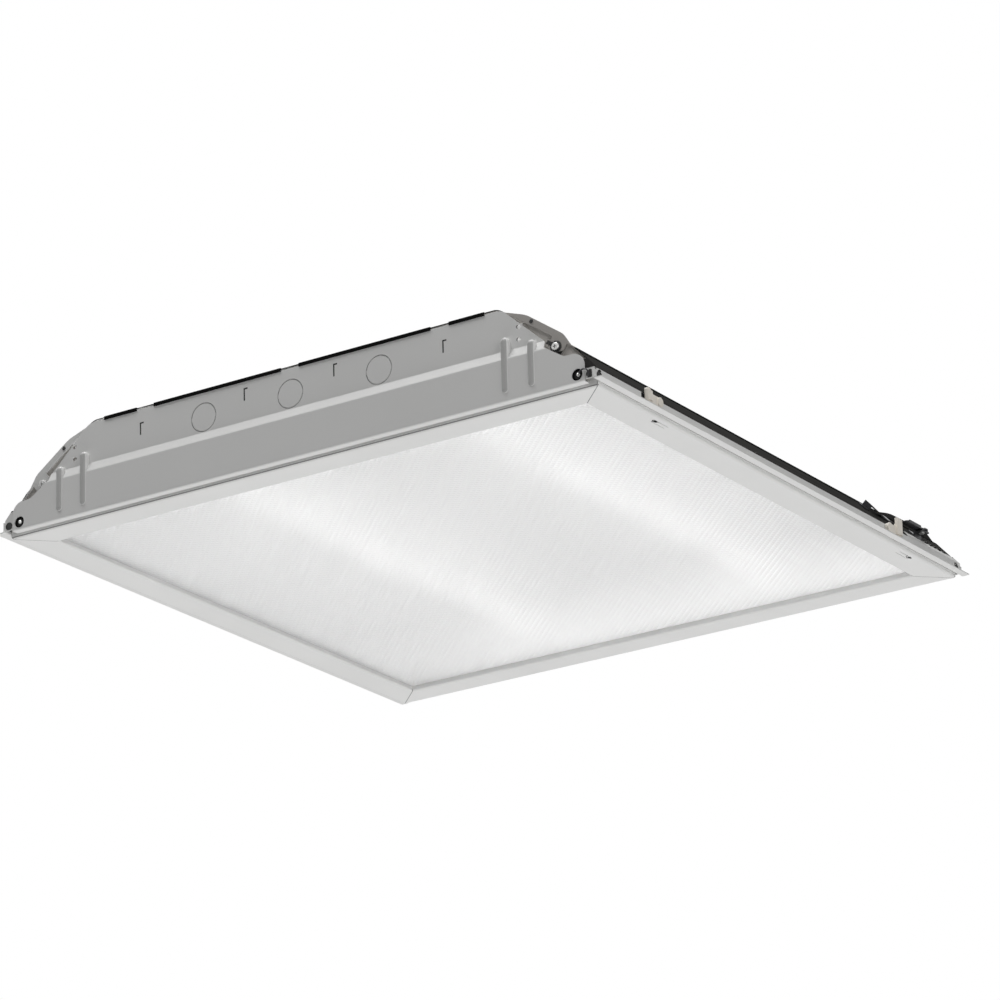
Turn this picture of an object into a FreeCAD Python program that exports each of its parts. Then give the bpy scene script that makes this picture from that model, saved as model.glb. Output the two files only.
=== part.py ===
import FreeCAD, Part
import math
import os

# Lay-in ceiling troffer, 603 mm square, seen and used from below.
# X runs across the near end, Y along the long sides, Z up.
# The origin is under the centre of the face, at the lowest face of the door.
# All sizes are in millimetres.

# ---- case ----
FACE_SIZE = 603.0        # outside of the face, both ways
CASE_DEPTH = 82.5        # face plane to the top of the case
SHEET = 0.8              # steel sheet of the case
FLANGE_WIDTH = 9.0       # rim that shows round the door
LIP_HEIGHT = 11.3        # upright side lip above the face plane
SHOULDER_RUN = 20.1      # from the lip in to the lower bend of the sloping side
SHOULDER_RISE = 33.5     # its height above the face plane
CREST_RUN = 47.0         # from the lower bend in to the upper bend
CREST_RISE = 67.0
TOP_RUN = 24.0           # from the upper bend in to the flat top
BEND = 1.2               # inside radius of a sharp sheet bend
SIDE_BEND = 14.0         # inside radius of the rolled side bends

# ---- end plates ----
END_TOP_RISE = 80.5      # top edge of an end plate above the face plane
END_TOP_OVERHANG = 4.0   # beyond the flat top, each side
END_FOOT_INSET = 16.0    # foot's end, from the face's edge
LOBE_WIDTH = 18.5        # from the foot's end in to the waist
NECK_RUN = 19.0          # from the waist in to the foot of the steep upper edge
END_NECK_RISE = 43.8
END_STEP_RISE = 37.5
END_LOBE_RISE = 25.2
LOBE_RADIUS = 11.0
CROWN_RADIUS = 14.0
JOGGLE_DEPTH = 4.0       # set-back of the upper part of the plate
JOGGLE_RISE = 36.0       # lower edge of the sloping band
JOGGLE_HEIGHT = 8.5
BEAD_RADIUS = 4.0        # pressed upright beads
BEAD_PROUD = 1.5
OUTER_BEAD_INSET = 12.0  # from the neck
BEAD_PITCH = 25.0
BEAD_FOOT_RISE = 6.5
INNER_BEAD_TOP = 55.0
OUTER_BEAD_TOP = 47.3
KNOCKOUT_RADIUS = 12.5
KNOCKOUT_PITCH = 88.0
KNOCKOUT_RISE = 58.0
SLIT = 0.5               # width of a sheared line
BRIDGE = 3.0             # metal left across a knockout's line
LANCE_WIDTH = 4.0
LANCE_HEIGHT = 11.0
INNER_LANCE_X = 45.0
INNER_LANCE_RISE = 68.3
OUTER_LANCE_INSET = 55.0  # from the end of the plate's top edge
OUTER_LANCE_RISE = 63.0
PILOT_RADIUS = 1.9       # small holes near the slanting edge
PILOT_OVERHANG = 16.0    # beyond the end of the plate's top edge
PILOT_RISES = (51.7, 62.5)
HANGER_INSET = 7.0       # hanger wire hole in each lobe, from the foot's end
HANGER_RISE = 7.0
HANGER_RADIUS = 5.0
HANGER_INNER_RADIUS = 3.5
CORNER_TAB_REACH = 10.0  # top of the tab behind each lobe, up the slope from the lip
CORNER_TAB_INSET = 2.0   # from the lobe's inner end
HOOK_DROP = 3.0          # depth of the hooks that hold the plate's top edge
HOOK_GAP = 18.0          # space between two hooks
HOOK_GAP_INSET = 55.0    # middle of the outer gap, from the end of the flat top
HOOK_END_INSET = 12.0
TAB_WIDTH = 16.0         # corner gussets under the sloping side
TAB_LENGTH = 20.0
TAB_AT = 16.0            # from the shoulder, up the slope
GUSSET_LEG = 14.0
FLANGE_START = 2.0       # turned end flange of the case, from the shoulder
FLANGE_END = 80.0
FLANGE_PROUD = 5.0       # beyond the sloping side
FLANGE_ENTRY = 16.0      # where its curved edge is first at that height
FLANGE_LEAVE = 58.0
FLANGE_ENTRY_RADIUS = 14.0
FLANGE_LEAVE_RADIUS = 30.0
FLANGE_HOLE_AT = 50.0
FLANGE_HOLE_HEIGHT = 2.2
FLANGE_HOLE_RADIUS = 1.2
CORNER_SCREW_DEPTH = 7.0  # below the slope, in the flange

# ---- door ----
FACE_DROP = 3.5          # how far the door hangs below the face plane
DOOR_GAP = 0.8           # between the door and the case round it
RAIL_WIDTH = 28.5        # door frame, seen from below
LENS_LAP = 12.0          # lens resting on each rail
LENS_THICKNESS = 3.2
RAIL_LIP = 4.8           # inner lip that carries the lens
RAIL_WALL = 9.5          # outer wall of a rail
RAIL_BEND = 1.2
MITRE_GAP = 0.15         # half of the seam between two rails
KEY_LEG = 46.0           # corner keys
KEY_WIDTH = 10.0
KEY_THICKNESS = 1.2
KEY_INSET = 2.0
RIVET_RADIUS = 2.4
RIVET_HEIGHT = 1.2
LENS_PLAY = 1.0          # between the lens and its clips
CLIP_WIDTH = 14.0        # lens clips
CLIP_SHEET = 0.6
CLIP_REACH = 8.0
CLIP_INSET = 126.0       # from the lens's corner

# ---- hinge ----
HINGE_FROM_END = 92.5    # middle of a hinge, from the door's end
HINGE_INSET = 3.0        # pin from the door's outer edge
HINGE_RISE = 3.0         # pin above the door's lowest face
PIN_RADIUS = 1.0
PIN_CLEARANCE = 0.05
KNUCKLE_RADIUS = 2.0
BRACKET_WIDTH = 14.0
EAR_WIDTH = 8.0
EAR_FOOT = 9.0
HINGE_PLAY = 0.4         # along the pin
BRACKET_ARM_RISE = 9.0   # underside of the arm that reaches over the door's wall
BRACKET_FOOT = 4.8

# ---- latches ----
LATCH_FROM_END = 86.5    # near pivot, from the door's near end
LATCH_FROM_FAR_END = 124.5  # far pivot, from the door's far end
LATCH_RISE = 8.0         # pivot above the face plane
LATCH_REACH = 16.0       # pivot to the upright finger
LATCH_THICKNESS = 2.5
LATCH_END_RADIUS = 3.8
FINGER_WIDTH = 6.5
FINGER_TOP_RISE = 16.0
FINGER_FOOT_RISE = 1.3
NOSE_HEIGHT = 2.6
LATCH_PLAY = 0.3         # beside the lip, and between the nose and the door
LATCH_PIN_RADIUS = 1.5
LATCH_HEAD_RADIUS = 2.4
LATCH_TAIL_RADIUS = 2.0
FINGER_CORNER = 2.5
BUMP_RADIUS = 2.2        # round bump at the top of the finger
NOTCH_MARGIN = 4.5       # lip notch beyond the finger
NOTCH_RISE = 11.0
NOTCH_LOW_RISE = 3.6
ACCESS_LENGTH = 20.0     # sheared access tongue in the door's face
ACCESS_WIDTH = 4.4
ACCESS_INSET = 4.2
ACCESS_MOUTH = 8.0
ACCESS_FROM_FAR_END = 82.5  # middle of the far tongue, from the door's far end

# ---- grid clips and stand-off straps, one of each at two opposite corners ----
CLIP_POST_FROM_END = 67.5
CLIP_POST_WIDTH = 12.0
CLIP_POST_FOOT = 10.0
CLIP_POST_AT = 8.0       # from the lip, up the slope
CLIP_POST_RISE = 22.0
CLIP_SHELF = 8.0
CLIP_STEEL = 1.2
ARM_LENGTH = 31.0
ARM_WIDTH = 7.0
ARM_RING_RADIUS = 5.5
ARM_PLAY = 0.15
ARM_PIN_RADIUS = 2.0
ARM_HEAD_RADIUS = 3.8
ARM_TAIL_RADIUS = 2.8
ARM_RIB_HEIGHT = 2.6     # stiffening rib along the arm's outer edge
ARM_RIB_START = 7.0      # from the pivot
ARM_RIB_END = 27.0
STRAP_FROM_END = 110.5
STRAP_LENGTH = 47.0
STRAP_WIDTH = 9.0
STRAP_LIFT = 4.5
STRAP_FOOT = 8.0
STRAP_AT = 12.0
LOUVRE_COUNT = 5
LOUVRE_FROM_END = 54.5
LOUVRE_PITCH = 8.0
LOUVRE_RADIUS = 2.4
LOUVRE_LENGTH = 7.0
LOUVRE_AT = 9.0
D_HOLE_RADIUS = 3.7
D_HOLE_FROM_END = 10.5
D_HOLE_RISE = 6.4
D_HOLE_FLAT = 2.2        # flat side, from the hole's centre

# ---- lamps and gear ----
LAMP_X = 122.0
LAMP_Z = 46.0
LAMP_RADIUS = 8.0
GLASS_WALL = 0.7
BASE_LENGTH = 14.0
BASE_RADIUS = 8.4
BASE_WALL = 2.0          # end of the base, over the glass
LAMP_PIN_RADIUS = 1.18
LAMP_PIN_PITCH = 4.75
LAMP_PIN_LENGTH = 6.6
ROTOR_RADIUS = 6.4
ROTOR_DEPTH = 5.0
ROTOR_CLEARANCE = 0.08
HOLDER_PLAY = 0.3
HOLDER_DEPTH = 13.0
HOLDER_HALF_WIDTH = 11.0
HOLDER_TOP = 14.0
HOLDER_CORNER = 2.0
HOLDER_CHIN = 9.9        # radius of the lower corners
HOLDER_SLACK_RADIUS = 4.5  # space behind the rotor for the lamp's pins
HOLDER_SLACK_DEPTH = 3.0
BAR_GAP = 6.6            # between a socket bar and the end plate
BAR_OVERHANG = 28.0      # beyond the lamps' axes
BAR_FOOT = 13.0
BAR_BOTTOM = 32.0
BALLAST_LENGTH = 240.0
BALLAST_WIDTH = 42.0
BALLAST_HEIGHT = 28.0
BALLAST_EAR = 12.0
BALLAST_EAR_SHEET = 1.5
BALLAST_CORNER = 2.0
COVER_GAP = 5.6          # between the cover's end and the socket bar's foot
COVER_TOP_HALF = 52.0
COVER_FLOOR_HALF = 38.0
COVER_DEPTH = 37.0
COVER_FOOT = 11.0
LEAD_RADIUS = 1.6
LEAD_X = 9.0
LEAD_BEND = 11.0
LEAD_Z_DROP = 10.0
SCREW_RADIUS = 2.0
SCREW_HOLE_CLEARANCE = 0.1
SCREW_HEAD_RADIUS = 4.0
SCREW_HEAD_HEIGHT = 2.2
SCREW_LENGTH = 6.0
COVER_SCREW_INSET = 70.0  # from the cover's end

PAST = 1.0               # how far a cut runs past the metal

# ---- worked out ----
HALF = FACE_SIZE / 2
FACE_Z = FACE_DROP
TOP_Z = FACE_Z + CASE_DEPTH
CEILING_Z = TOP_Z - SHEET
DOOR_HALF = HALF - FLANGE_WIDTH
LIP_X = DOOR_HALF + DOOR_GAP
LIP_OUTSIDE = LIP_X + SHEET
OPENING_HALF = DOOR_HALF - RAIL_WIDTH
LENS_HALF = OPENING_HALF + LENS_LAP
LENS_Z = RAIL_LIP
END_Y = HALF - BEAD_PROUD
PLATE_Y = END_Y - SHEET
UPPER_Y = PLATE_Y - JOGGLE_DEPTH
PIN_X = -(DOOR_HALF - HINGE_INSET)
LATCH_X = LIP_OUTSIDE + LATCH_PLAY
SLOPE_FOOT = (LIP_OUTSIDE, FACE_Z + LIP_HEIGHT)
SHOULDER = (LIP_OUTSIDE - SHOULDER_RUN, FACE_Z + SHOULDER_RISE)
CREST = (SHOULDER[0] - CREST_RUN, FACE_Z + CREST_RISE)
TOP_HALF_WIDTH = CREST[0] - TOP_RUN
END_TOP_HALF = TOP_HALF_WIDTH + END_TOP_OVERHANG
END_FOOT_HALF = HALF - END_FOOT_INSET
END_WAIST_X = END_FOOT_HALF - LOBE_WIDTH
END_NECK_X = END_WAIST_X - NECK_RUN
OUTER_BEAD_X = END_NECK_X - OUTER_BEAD_INSET
INNER_BEAD_X = OUTER_BEAD_X - BEAD_PITCH
OUTER_LANCE_X = END_TOP_HALF - OUTER_LANCE_INSET
PILOT_X = END_TOP_HALF + PILOT_OVERHANG
HANGER_X = END_FOOT_HALF - HANGER_INSET
HOOK_GAP_X = TOP_HALF_WIDTH - HOOK_GAP_INSET
HOOK_END_X = TOP_HALF_WIDTH - HOOK_END_INSET
HINGE_Y = DOOR_HALF - HINGE_FROM_END
LATCH_Y = {-1: LATCH_FROM_END - DOOR_HALF, 1: DOOR_HALF - LATCH_FROM_FAR_END}
ACCESS_Y = {-1: LATCH_Y[-1] + LATCH_REACH, 1: DOOR_HALF - ACCESS_FROM_FAR_END}
CLIP_POST_Y = HALF - CLIP_POST_FROM_END
STRAP_FAR_Y = HALF - STRAP_FROM_END
STRAP_NEAR_Y = STRAP_FAR_Y - STRAP_LENGTH
LOUVRE_FIRST_Y = HALF - LOUVRE_FROM_END
D_HOLE_Y = HALF - D_HOLE_FROM_END
BAR_BACK = UPPER_Y - BAR_GAP
HOLDER_BACK = BAR_BACK - SHEET
HOLDER_FRONT = HOLDER_BACK - HOLDER_DEPTH
LAMP_FACE = HOLDER_FRONT - HOLDER_PLAY    # half of the lamp's 549 mm between base faces
BAR_HALF_WIDTH = LAMP_X + BAR_OVERHANG
COVER_END = BAR_BACK - BAR_FOOT - COVER_GAP
COVER_SCREW_Y = COVER_END - COVER_SCREW_INSET


def vec(x, y, z):
    return FreeCAD.Vector(x, y, z)


def box(x0, x1, y0, y1, z0, z1):
    return Part.makeBox(x1 - x0, y1 - y0, z1 - z0, vec(x0, y0, z0))


def rod(radius, start, end):
    """A round bar between two points."""
    way = end - start
    return Part.makeCylinder(radius, way.Length, start, way)


def one(shapes):
    """Several overlapping solids as one."""
    whole = shapes[0].fuse(list(shapes[1:])) if len(shapes) > 1 else shapes[0]
    return whole.removeSplitter()


def mirrored_x(shape):
    return shape.mirror(vec(0, 0, 0), vec(1, 0, 0))


def mirrored_y(shape):
    return shape.mirror(vec(0, 0, 0), vec(0, 1, 0))


def turned(shape, degrees):
    """A copy turned about the upright centre line."""
    copy = shape.copy()
    copy.rotate(vec(0, 0, 0), vec(0, 0, 1), degrees)
    return copy


def save(name, shapes):
    solids = shapes if isinstance(shapes, list) else [shapes]
    result = solids[0] if len(solids) == 1 else Part.makeCompound(solids)
    result.exportStep("parts/" + name + ".step")
    print(name, len(result.Solids), result.isValid(), round(result.Volume, 1))


def rounded_outline(points, place):
    """A closed wire through 2-D points (u, v, radius), each corner an arc of its radius."""
    count = len(points)
    entries = []
    exits = []
    middles = []
    for i in range(count):
        here = vec(points[i][0], points[i][1], 0)
        before = vec(points[i - 1][0], points[i - 1][1], 0)
        after = vec(points[(i + 1) % count][0], points[(i + 1) % count][1], 0)
        back = (before - here).normalize()
        ahead = (after - here).normalize()
        half_turn = back.getAngle(ahead) / 2
        radius = points[i][2]
        reach = radius / math.tan(half_turn) if radius else 0
        bisector = (back + ahead).normalize() if radius else back
        depth = radius / math.sin(half_turn) - radius if radius else 0
        entries.append(here + back * reach)
        exits.append(here + ahead * reach)
        middles.append(here + bisector * depth)
    edges = []
    for i in range(count):
        if points[i][2]:
            arc = Part.Arc(place(entries[i]), place(middles[i]), place(exits[i]))
            edges.append(arc.toShape())
        start = exits[i]
        end = entries[(i + 1) % count]
        if (end - start).Length > 1e-6:
            edges.append(Part.LineSegment(place(start), place(end)).toShape())
    return Part.Wire(Part.__sortEdges__(edges))


def on_xz(y):
    return lambda p: vec(p.x, y, p.y)


def on_yz(x):
    return lambda p: vec(x, p.x, p.y)


def on_xy(z):
    return lambda p: vec(p.x, p.y, z)


def prism(points, place, way):
    """A straight prism on a rounded outline."""
    return Part.Face(rounded_outline(points, place)).extrude(way)


def sheet_outline(path, thickness):
    """Outline of a bent sheet: a path of (u, v, inside radius), with the sheet on its left."""
    count = len(path)
    near = []
    far = []
    for i in range(count):
        here = vec(path[i][0], path[i][1], 0)
        ways = []
        if i > 0:
            ways.append((here - vec(path[i - 1][0], path[i - 1][1], 0)).normalize())
        if i < count - 1:
            ways.append((vec(path[i + 1][0], path[i + 1][1], 0) - here).normalize())
        normals = [vec(-way.y, way.x, 0) for way in ways]
        if len(normals) == 1:
            shift = normals[0] * thickness
            turn = 0
        else:
            total = normals[0] + normals[1]
            shift = total * (thickness / (1 + normals[0].dot(normals[1])))
            turn = ways[0].x * ways[1].y - ways[0].y * ways[1].x
        inner = path[i][2]
        near_radius = inner if turn < 0 else inner + thickness
        far_radius = inner + thickness if turn < 0 else inner
        if not inner:
            near_radius = 0
            far_radius = 0
        near.append((here.x, here.y, near_radius))
        far.append((here.x + shift.x, here.y + shift.y, far_radius))
    return near + far[::-1]


def bent_sheet(path, thickness, place, way):
    return prism(sheet_outline(path, thickness), place, way)


def slope_point(distance, height):
    """(x, z) on the lower sloping side, up from the lip and out from the sheet."""
    run = vec(SHOULDER[0] - SLOPE_FOOT[0], 0, SHOULDER[1] - SLOPE_FOOT[1]).normalize()
    out = vec(run.z, 0, -run.x)
    spot = vec(SLOPE_FOOT[0], 0, SLOPE_FOOT[1]) + run * distance + out * height
    return spot.x, spot.z


def upper_slope_point(distance, height):
    """(x, z) on the upper sloping side, up from the shoulder and out from the sheet."""
    run = vec(CREST[0] - SHOULDER[0], 0, CREST[1] - SHOULDER[1]).normalize()
    out = vec(run.z, 0, -run.x)
    spot = vec(SHOULDER[0], 0, SHOULDER[1]) + run * distance + out * height
    return spot.x, spot.z


def screw(spot, way, length):
    """A pan-head screw whose head sits on spot and whose shank runs along way."""
    shank = rod(SCREW_RADIUS, spot, spot + way * length)
    head = rod(SCREW_HEAD_RADIUS, spot - way * SCREW_HEAD_HEIGHT, spot)
    head = head.makeFillet(SCREW_HEAD_HEIGHT / 2, [head.Edges[0]])
    return one([head, shank])


# ---------------------------------------------------------------- case

def pan_section():
    """Half of the case's section, from the flange's edge to the centre line."""
    return [
        (HALF, FACE_Z + SHEET, 0),
        (LIP_OUTSIDE, FACE_Z + SHEET, BEND),
        (SLOPE_FOOT[0], SLOPE_FOOT[1], BEND),
        (SHOULDER[0], SHOULDER[1], SIDE_BEND),
        (CREST[0], CREST[1], SIDE_BEND),
        (TOP_HALF_WIDTH, TOP_Z, SIDE_BEND),
        (0, TOP_Z, 0),
    ]


def latch_notch(side):
    """Opening in the lip for one latch; side is -1 at the near end and 1 at the far end."""
    pivot = LATCH_Y[side]
    finger = pivot + side * LATCH_REACH
    outer = finger + side * (FINGER_WIDTH / 2 + NOTCH_MARGIN)
    inner = finger - side * (FINGER_WIDTH / 2 + NOTCH_MARGIN)
    low = FACE_Z + SHEET
    x0 = LIP_X - PAST
    x1 = LIP_OUTSIDE + PAST
    tall = box(x0, x1, min(outer, inner), max(outer, inner), low, FACE_Z + NOTCH_RISE)
    shallow = box(x0, x1, min(outer, pivot), max(outer, pivot), low, FACE_Z + NOTCH_LOW_RISE)
    return [tall, shallow]


def corner_tab():
    """Tab bent in from the lip behind the end plate's lobe, with the smaller hanger hole."""
    low = FACE_Z + SHEET + BEND
    inner = END_WAIST_X + CORNER_TAB_INSET
    top_x, top_z = slope_point(CORNER_TAB_REACH, 0)
    corners = [
        (inner, low, 0),
        (LIP_OUTSIDE, low, 0),
        (SLOPE_FOOT[0], SLOPE_FOOT[1], 0),
        (top_x, top_z, 0),
        (inner, top_z, 0),
    ]
    tab = prism(corners, on_xz(-PLATE_Y), vec(0, SHEET, 0))
    hole = rod(HANGER_INNER_RADIUS, vec(HANGER_X, -END_Y, FACE_Z + HANGER_RISE),
               vec(HANGER_X, -UPPER_Y, FACE_Z + HANGER_RISE))
    return tab.cut(hole)


def d_hole():
    """Round hole with one flat side, near the end of the lip."""
    z = FACE_Z + D_HOLE_RISE
    x0 = LIP_X - PAST
    x1 = LIP_OUTSIDE + PAST
    hole = rod(D_HOLE_RADIUS, vec(x0, -D_HOLE_Y, z), vec(x1, -D_HOLE_Y, z))
    kept = box(x0, x1, -D_HOLE_Y - D_HOLE_RADIUS, -D_HOLE_Y + D_HOLE_FLAT,
               z - D_HOLE_RADIUS, z + D_HOLE_RADIUS)
    return hole.common(kept)


def hooks():
    """Folded edges of the top that hold one end plate's top edge."""
    front = -(UPPER_Y + SHEET)
    spans = [
        (HOOK_GAP / 2, HOOK_GAP_X - HOOK_GAP / 2),
        (HOOK_GAP_X + HOOK_GAP / 2, HOOK_END_X),
    ]
    path = [(front, TOP_Z - HOOK_DROP, 0), (front, CEILING_Z, 0), (-UPPER_Y, CEILING_Z, 0)]
    found = []
    for start, end in spans:
        hook = bent_sheet(path, SHEET, on_yz(start), vec(end - start, 0, 0))
        found.append(hook)
        found.append(mirrored_x(hook))
    return found


def louvres():
    """Row of small pressed louvres on the lower slope beside the far right corner."""
    found = []
    for i in range(LOUVRE_COUNT):
        y = LOUVRE_FIRST_Y + i * LOUVRE_PITCH
        x0, z0 = slope_point(LOUVRE_AT, -SHEET / 2)
        x1, z1 = slope_point(LOUVRE_AT + LOUVRE_LENGTH, -SHEET / 2)
        bead = rod(LOUVRE_RADIUS, vec(x0, y, z0), vec(x1, y, z1))
        caps = [Part.makeSphere(LOUVRE_RADIUS, vec(x0, y, z0)),
                Part.makeSphere(LOUVRE_RADIUS, vec(x1, y, z1))]
        found.append(one([bead] + caps))
    return found


def above_slope():
    """Space outside the lower slope's inner face."""
    x0, z0 = slope_point(0, -SHEET / 2)
    x1, z1 = slope_point(LOUVRE_AT * 3, -SHEET / 2)
    x2, z2 = slope_point(LOUVRE_AT * 3, LOUVRE_RADIUS * 4)
    x3, z3 = slope_point(0, LOUVRE_RADIUS * 4)
    corners = [(x0, z0, 0), (x1, z1, 0), (x2, z2, 0), (x3, z3, 0)]
    return prism(corners, on_xz(0), vec(0, HALF, 0))


def end_flange():
    """Flange turned out at the near end of the right sloping side, behind the end plate."""
    low = TAB_AT - TAB_WIDTH / 2
    high = TAB_AT + TAB_WIDTH / 2
    curved = [
        upper_slope_point(FLANGE_START, -SHEET) + (0,),
        upper_slope_point(FLANGE_ENTRY, FLANGE_PROUD) + (FLANGE_ENTRY_RADIUS,),
        upper_slope_point(FLANGE_LEAVE, FLANGE_PROUD) + (FLANGE_LEAVE_RADIUS,),
        upper_slope_point(FLANGE_END, -2 * SHEET) + (0,),
        upper_slope_point((FLANGE_START + FLANGE_END) / 2, -SHEET) + (0,),
    ]
    tongue = [
        upper_slope_point(low, 0) + (0,),
        upper_slope_point(high, 0) + (0,),
        upper_slope_point(high, -GUSSET_LEG) + (0,),
        upper_slope_point(low, -GUSSET_LEG) + (0,),
    ]
    x, z = upper_slope_point(FLANGE_HOLE_AT, FLANGE_HOLE_HEIGHT)
    hole = rod(FLANGE_HOLE_RADIUS, vec(x, -END_Y, z), vec(x, -UPPER_Y + 2 * SHEET, z))
    leaves = [prism(leaf, on_xz(-UPPER_Y), vec(0, SHEET, 0)) for leaf in (curved, tongue)]
    return one(leaves).cut(hole)


def corner_screw_spot():
    """Where the right near corner screw's head sits, and which way it points."""
    x, z = upper_slope_point(TAB_AT, -CORNER_SCREW_DEPTH)
    return vec(x, -UPPER_Y, z), vec(0, 1, 0)


def corner_screw_hole():
    spot, way = corner_screw_spot()
    return rod(SCREW_RADIUS + SCREW_HOLE_CLEARANCE, spot - way * PAST, spot + way * SCREW_LENGTH)


def top_pan():
    half = sheet_outline(pan_section(), SHEET)
    body = prism(half, on_xz(-UPPER_Y), vec(0, 2 * UPPER_Y, 0))
    rim = prism(half, on_xz(-HALF), vec(0, FACE_SIZE, 0))
    rim = rim.common(box(LIP_X - SHEET, HALF, -HALF, HALF, 0, SLOPE_FOOT[1] - 2 * BEND))
    near_tab = corner_tab()
    near_flange = end_flange()
    side = one([body, rim, near_tab, mirrored_y(near_tab), near_flange, mirrored_y(near_flange)])
    bumps = one([bead.common(above_slope()) for bead in louvres()])
    right = one([side, bumps])
    left = turned(right, 180)
    pan = one([right, left] + hooks() + [mirrored_y(hook) for hook in hooks()])
    cuts = latch_notch(-1) + latch_notch(1)
    cuts += four_corners(d_hole())
    cuts += four_corners(corner_screw_hole())
    cuts += cover_screw_holes()
    pin_z = FACE_Z + LATCH_RISE
    for side_sign in (-1, 1):
        y = LATCH_Y[side_sign]
        cuts.append(rod(LATCH_PIN_RADIUS, vec(LIP_X - PAST, y, pin_z), vec(LATCH_X, y, pin_z)))
    return pan.cut(cuts).removeSplitter()


# ---------------------------------------------------------------- end plates

def end_outline():
    """Outline of an end plate as (x, z, radius), from the right foot round to the left foot."""
    right = [
        (END_FOOT_HALF, FACE_Z, 0),
        (END_FOOT_HALF, FACE_Z + END_LOBE_RISE, LOBE_RADIUS),
        (END_WAIST_X, FACE_Z + END_LOBE_RISE, LOBE_RADIUS),
        (END_NECK_X, FACE_Z + END_STEP_RISE, BEND),
        (END_NECK_X - 1, FACE_Z + END_NECK_RISE, BEND),
        (END_TOP_HALF, FACE_Z + END_TOP_RISE, CROWN_RADIUS),
    ]
    return right + [(-x, z, radius) for x, z, radius in right[::-1]]


def plate_path():
    """Section of an end plate, from its top down to the inner edge of its foot."""
    band_top = JOGGLE_RISE + JOGGLE_HEIGHT
    return [
        (-END_Y + JOGGLE_DEPTH, FACE_Z + END_TOP_RISE, 0),
        (-END_Y + JOGGLE_DEPTH, FACE_Z + band_top, BEND * 2),
        (-END_Y, FACE_Z + JOGGLE_RISE, BEND * 2),
        (-END_Y, FACE_Z, BEND),
        (-LIP_X, FACE_Z, 0),
    ]


def bead(x, top):
    """Pressed bead: a round-ended bar that stands proud of the plate's outer face."""
    y = -END_Y - BEAD_PROUD + BEAD_RADIUS
    low = vec(x, y, FACE_Z + BEAD_FOOT_RISE + BEAD_RADIUS)
    high = vec(x, y, FACE_Z + top - BEAD_RADIUS)
    shapes = []
    for radius in (BEAD_RADIUS, BEAD_RADIUS - SHEET):
        ends = [Part.makeSphere(radius, low), Part.makeSphere(radius, high)]
        shapes.append(one([rod(radius, low, high)] + ends))
    return shapes


def outside_plate():
    """Space outside the inner face of an end plate."""
    far_out = -END_Y - BEAD_RADIUS * 3
    corners = [(y + SHEET, z, 0) for y, z, radius in plate_path()[:-1]]
    corners += [(far_out, FACE_Z, 0), (far_out, FACE_Z + END_TOP_RISE, 0)]
    return prism(corners, on_yz(-HALF), vec(FACE_SIZE, 0, 0))


def knockout_line(x):
    """Round sheared line with two bridges."""
    z = FACE_Z + KNOCKOUT_RISE
    start = vec(x, -END_Y - SHEET, z)
    end = vec(x, -UPPER_Y + SHEET, z)
    ring = rod(KNOCKOUT_RADIUS, start, end).cut(rod(KNOCKOUT_RADIUS - SLIT, start, end))
    bridge = box(x - KNOCKOUT_RADIUS * 2, x + KNOCKOUT_RADIUS * 2, -END_Y - SHEET, -UPPER_Y + SHEET,
                 z - BRIDGE / 2, z + BRIDGE / 2)
    return ring.cut(bridge)


def lance_lines(x, rise):
    """Sheared lines along the left and the top of a small tongue."""
    z = FACE_Z + rise
    left = x - LANCE_WIDTH / 2
    top = z + LANCE_HEIGHT / 2
    upright = box(left, left + SLIT, -END_Y, -UPPER_Y + SHEET, z - LANCE_HEIGHT / 2, top)
    across = box(left, x + LANCE_WIDTH / 2, -END_Y, -UPPER_Y + SHEET, top - SLIT, top)
    return one([upright, across])


def corner_gusset():
    """Angle piece in the right near corner: one leg behind the flange, one under the slope."""
    low = TAB_AT - TAB_WIDTH / 2
    high = TAB_AT + TAB_WIDTH / 2

    def leg(depth, length):
        corners = [
            upper_slope_point(low, -SHEET) + (0,),
            upper_slope_point(high, -SHEET) + (0,),
            upper_slope_point(high, -depth) + (0,),
            upper_slope_point(low, -depth) + (0,),
        ]
        return prism(corners, on_xz(-UPPER_Y + SHEET), vec(0, length, 0))

    angle = one([leg(GUSSET_LEG, SHEET), leg(2 * SHEET, TAB_LENGTH)])
    return angle.cut(corner_screw_hole())


def end_plate():
    sheet = bent_sheet(plate_path(), SHEET, on_yz(-HALF), vec(FACE_SIZE, 0, 0))
    outline = prism(end_outline(), on_xz(-END_Y - SHEET), vec(0, FLANGE_WIDTH * 2, 0))
    plate = sheet.common(outline)
    outside = outside_plate()
    beads = []
    hollows = []
    for x, top in ((INNER_BEAD_X, INNER_BEAD_TOP), (OUTER_BEAD_X, OUTER_BEAD_TOP)):
        for at in (x, -x):
            full, hollow = bead(at, top)
            beads.append(full.common(outside))
            hollows.append(hollow)
    plate = one([plate] + beads)
    cuts = list(hollows)
    cuts += [knockout_line(k * KNOCKOUT_PITCH) for k in (-1, 0, 1)]
    for side in (-1, 1):
        cuts.append(lance_lines(side * INNER_LANCE_X, INNER_LANCE_RISE))
        cuts.append(lance_lines(side * OUTER_LANCE_X, OUTER_LANCE_RISE))
        for rise in PILOT_RISES:
            x = side * PILOT_X
            cuts.append(rod(PILOT_RADIUS, vec(x, -END_Y, FACE_Z + rise),
                            vec(x, -UPPER_Y + SHEET, FACE_Z + rise)))
        x = side * HANGER_X
        cuts.append(rod(HANGER_RADIUS, vec(x, -END_Y - SHEET, FACE_Z + HANGER_RISE),
                        vec(x, -PLATE_Y + SHEET / 4, FACE_Z + HANGER_RISE)))
    return plate.cut(cuts).removeSplitter()


def four_corners(shape):
    """A piece of the right near corner, in all four corners."""
    return [shape, mirrored_x(shape), mirrored_y(shape), turned(shape, 180)]


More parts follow.
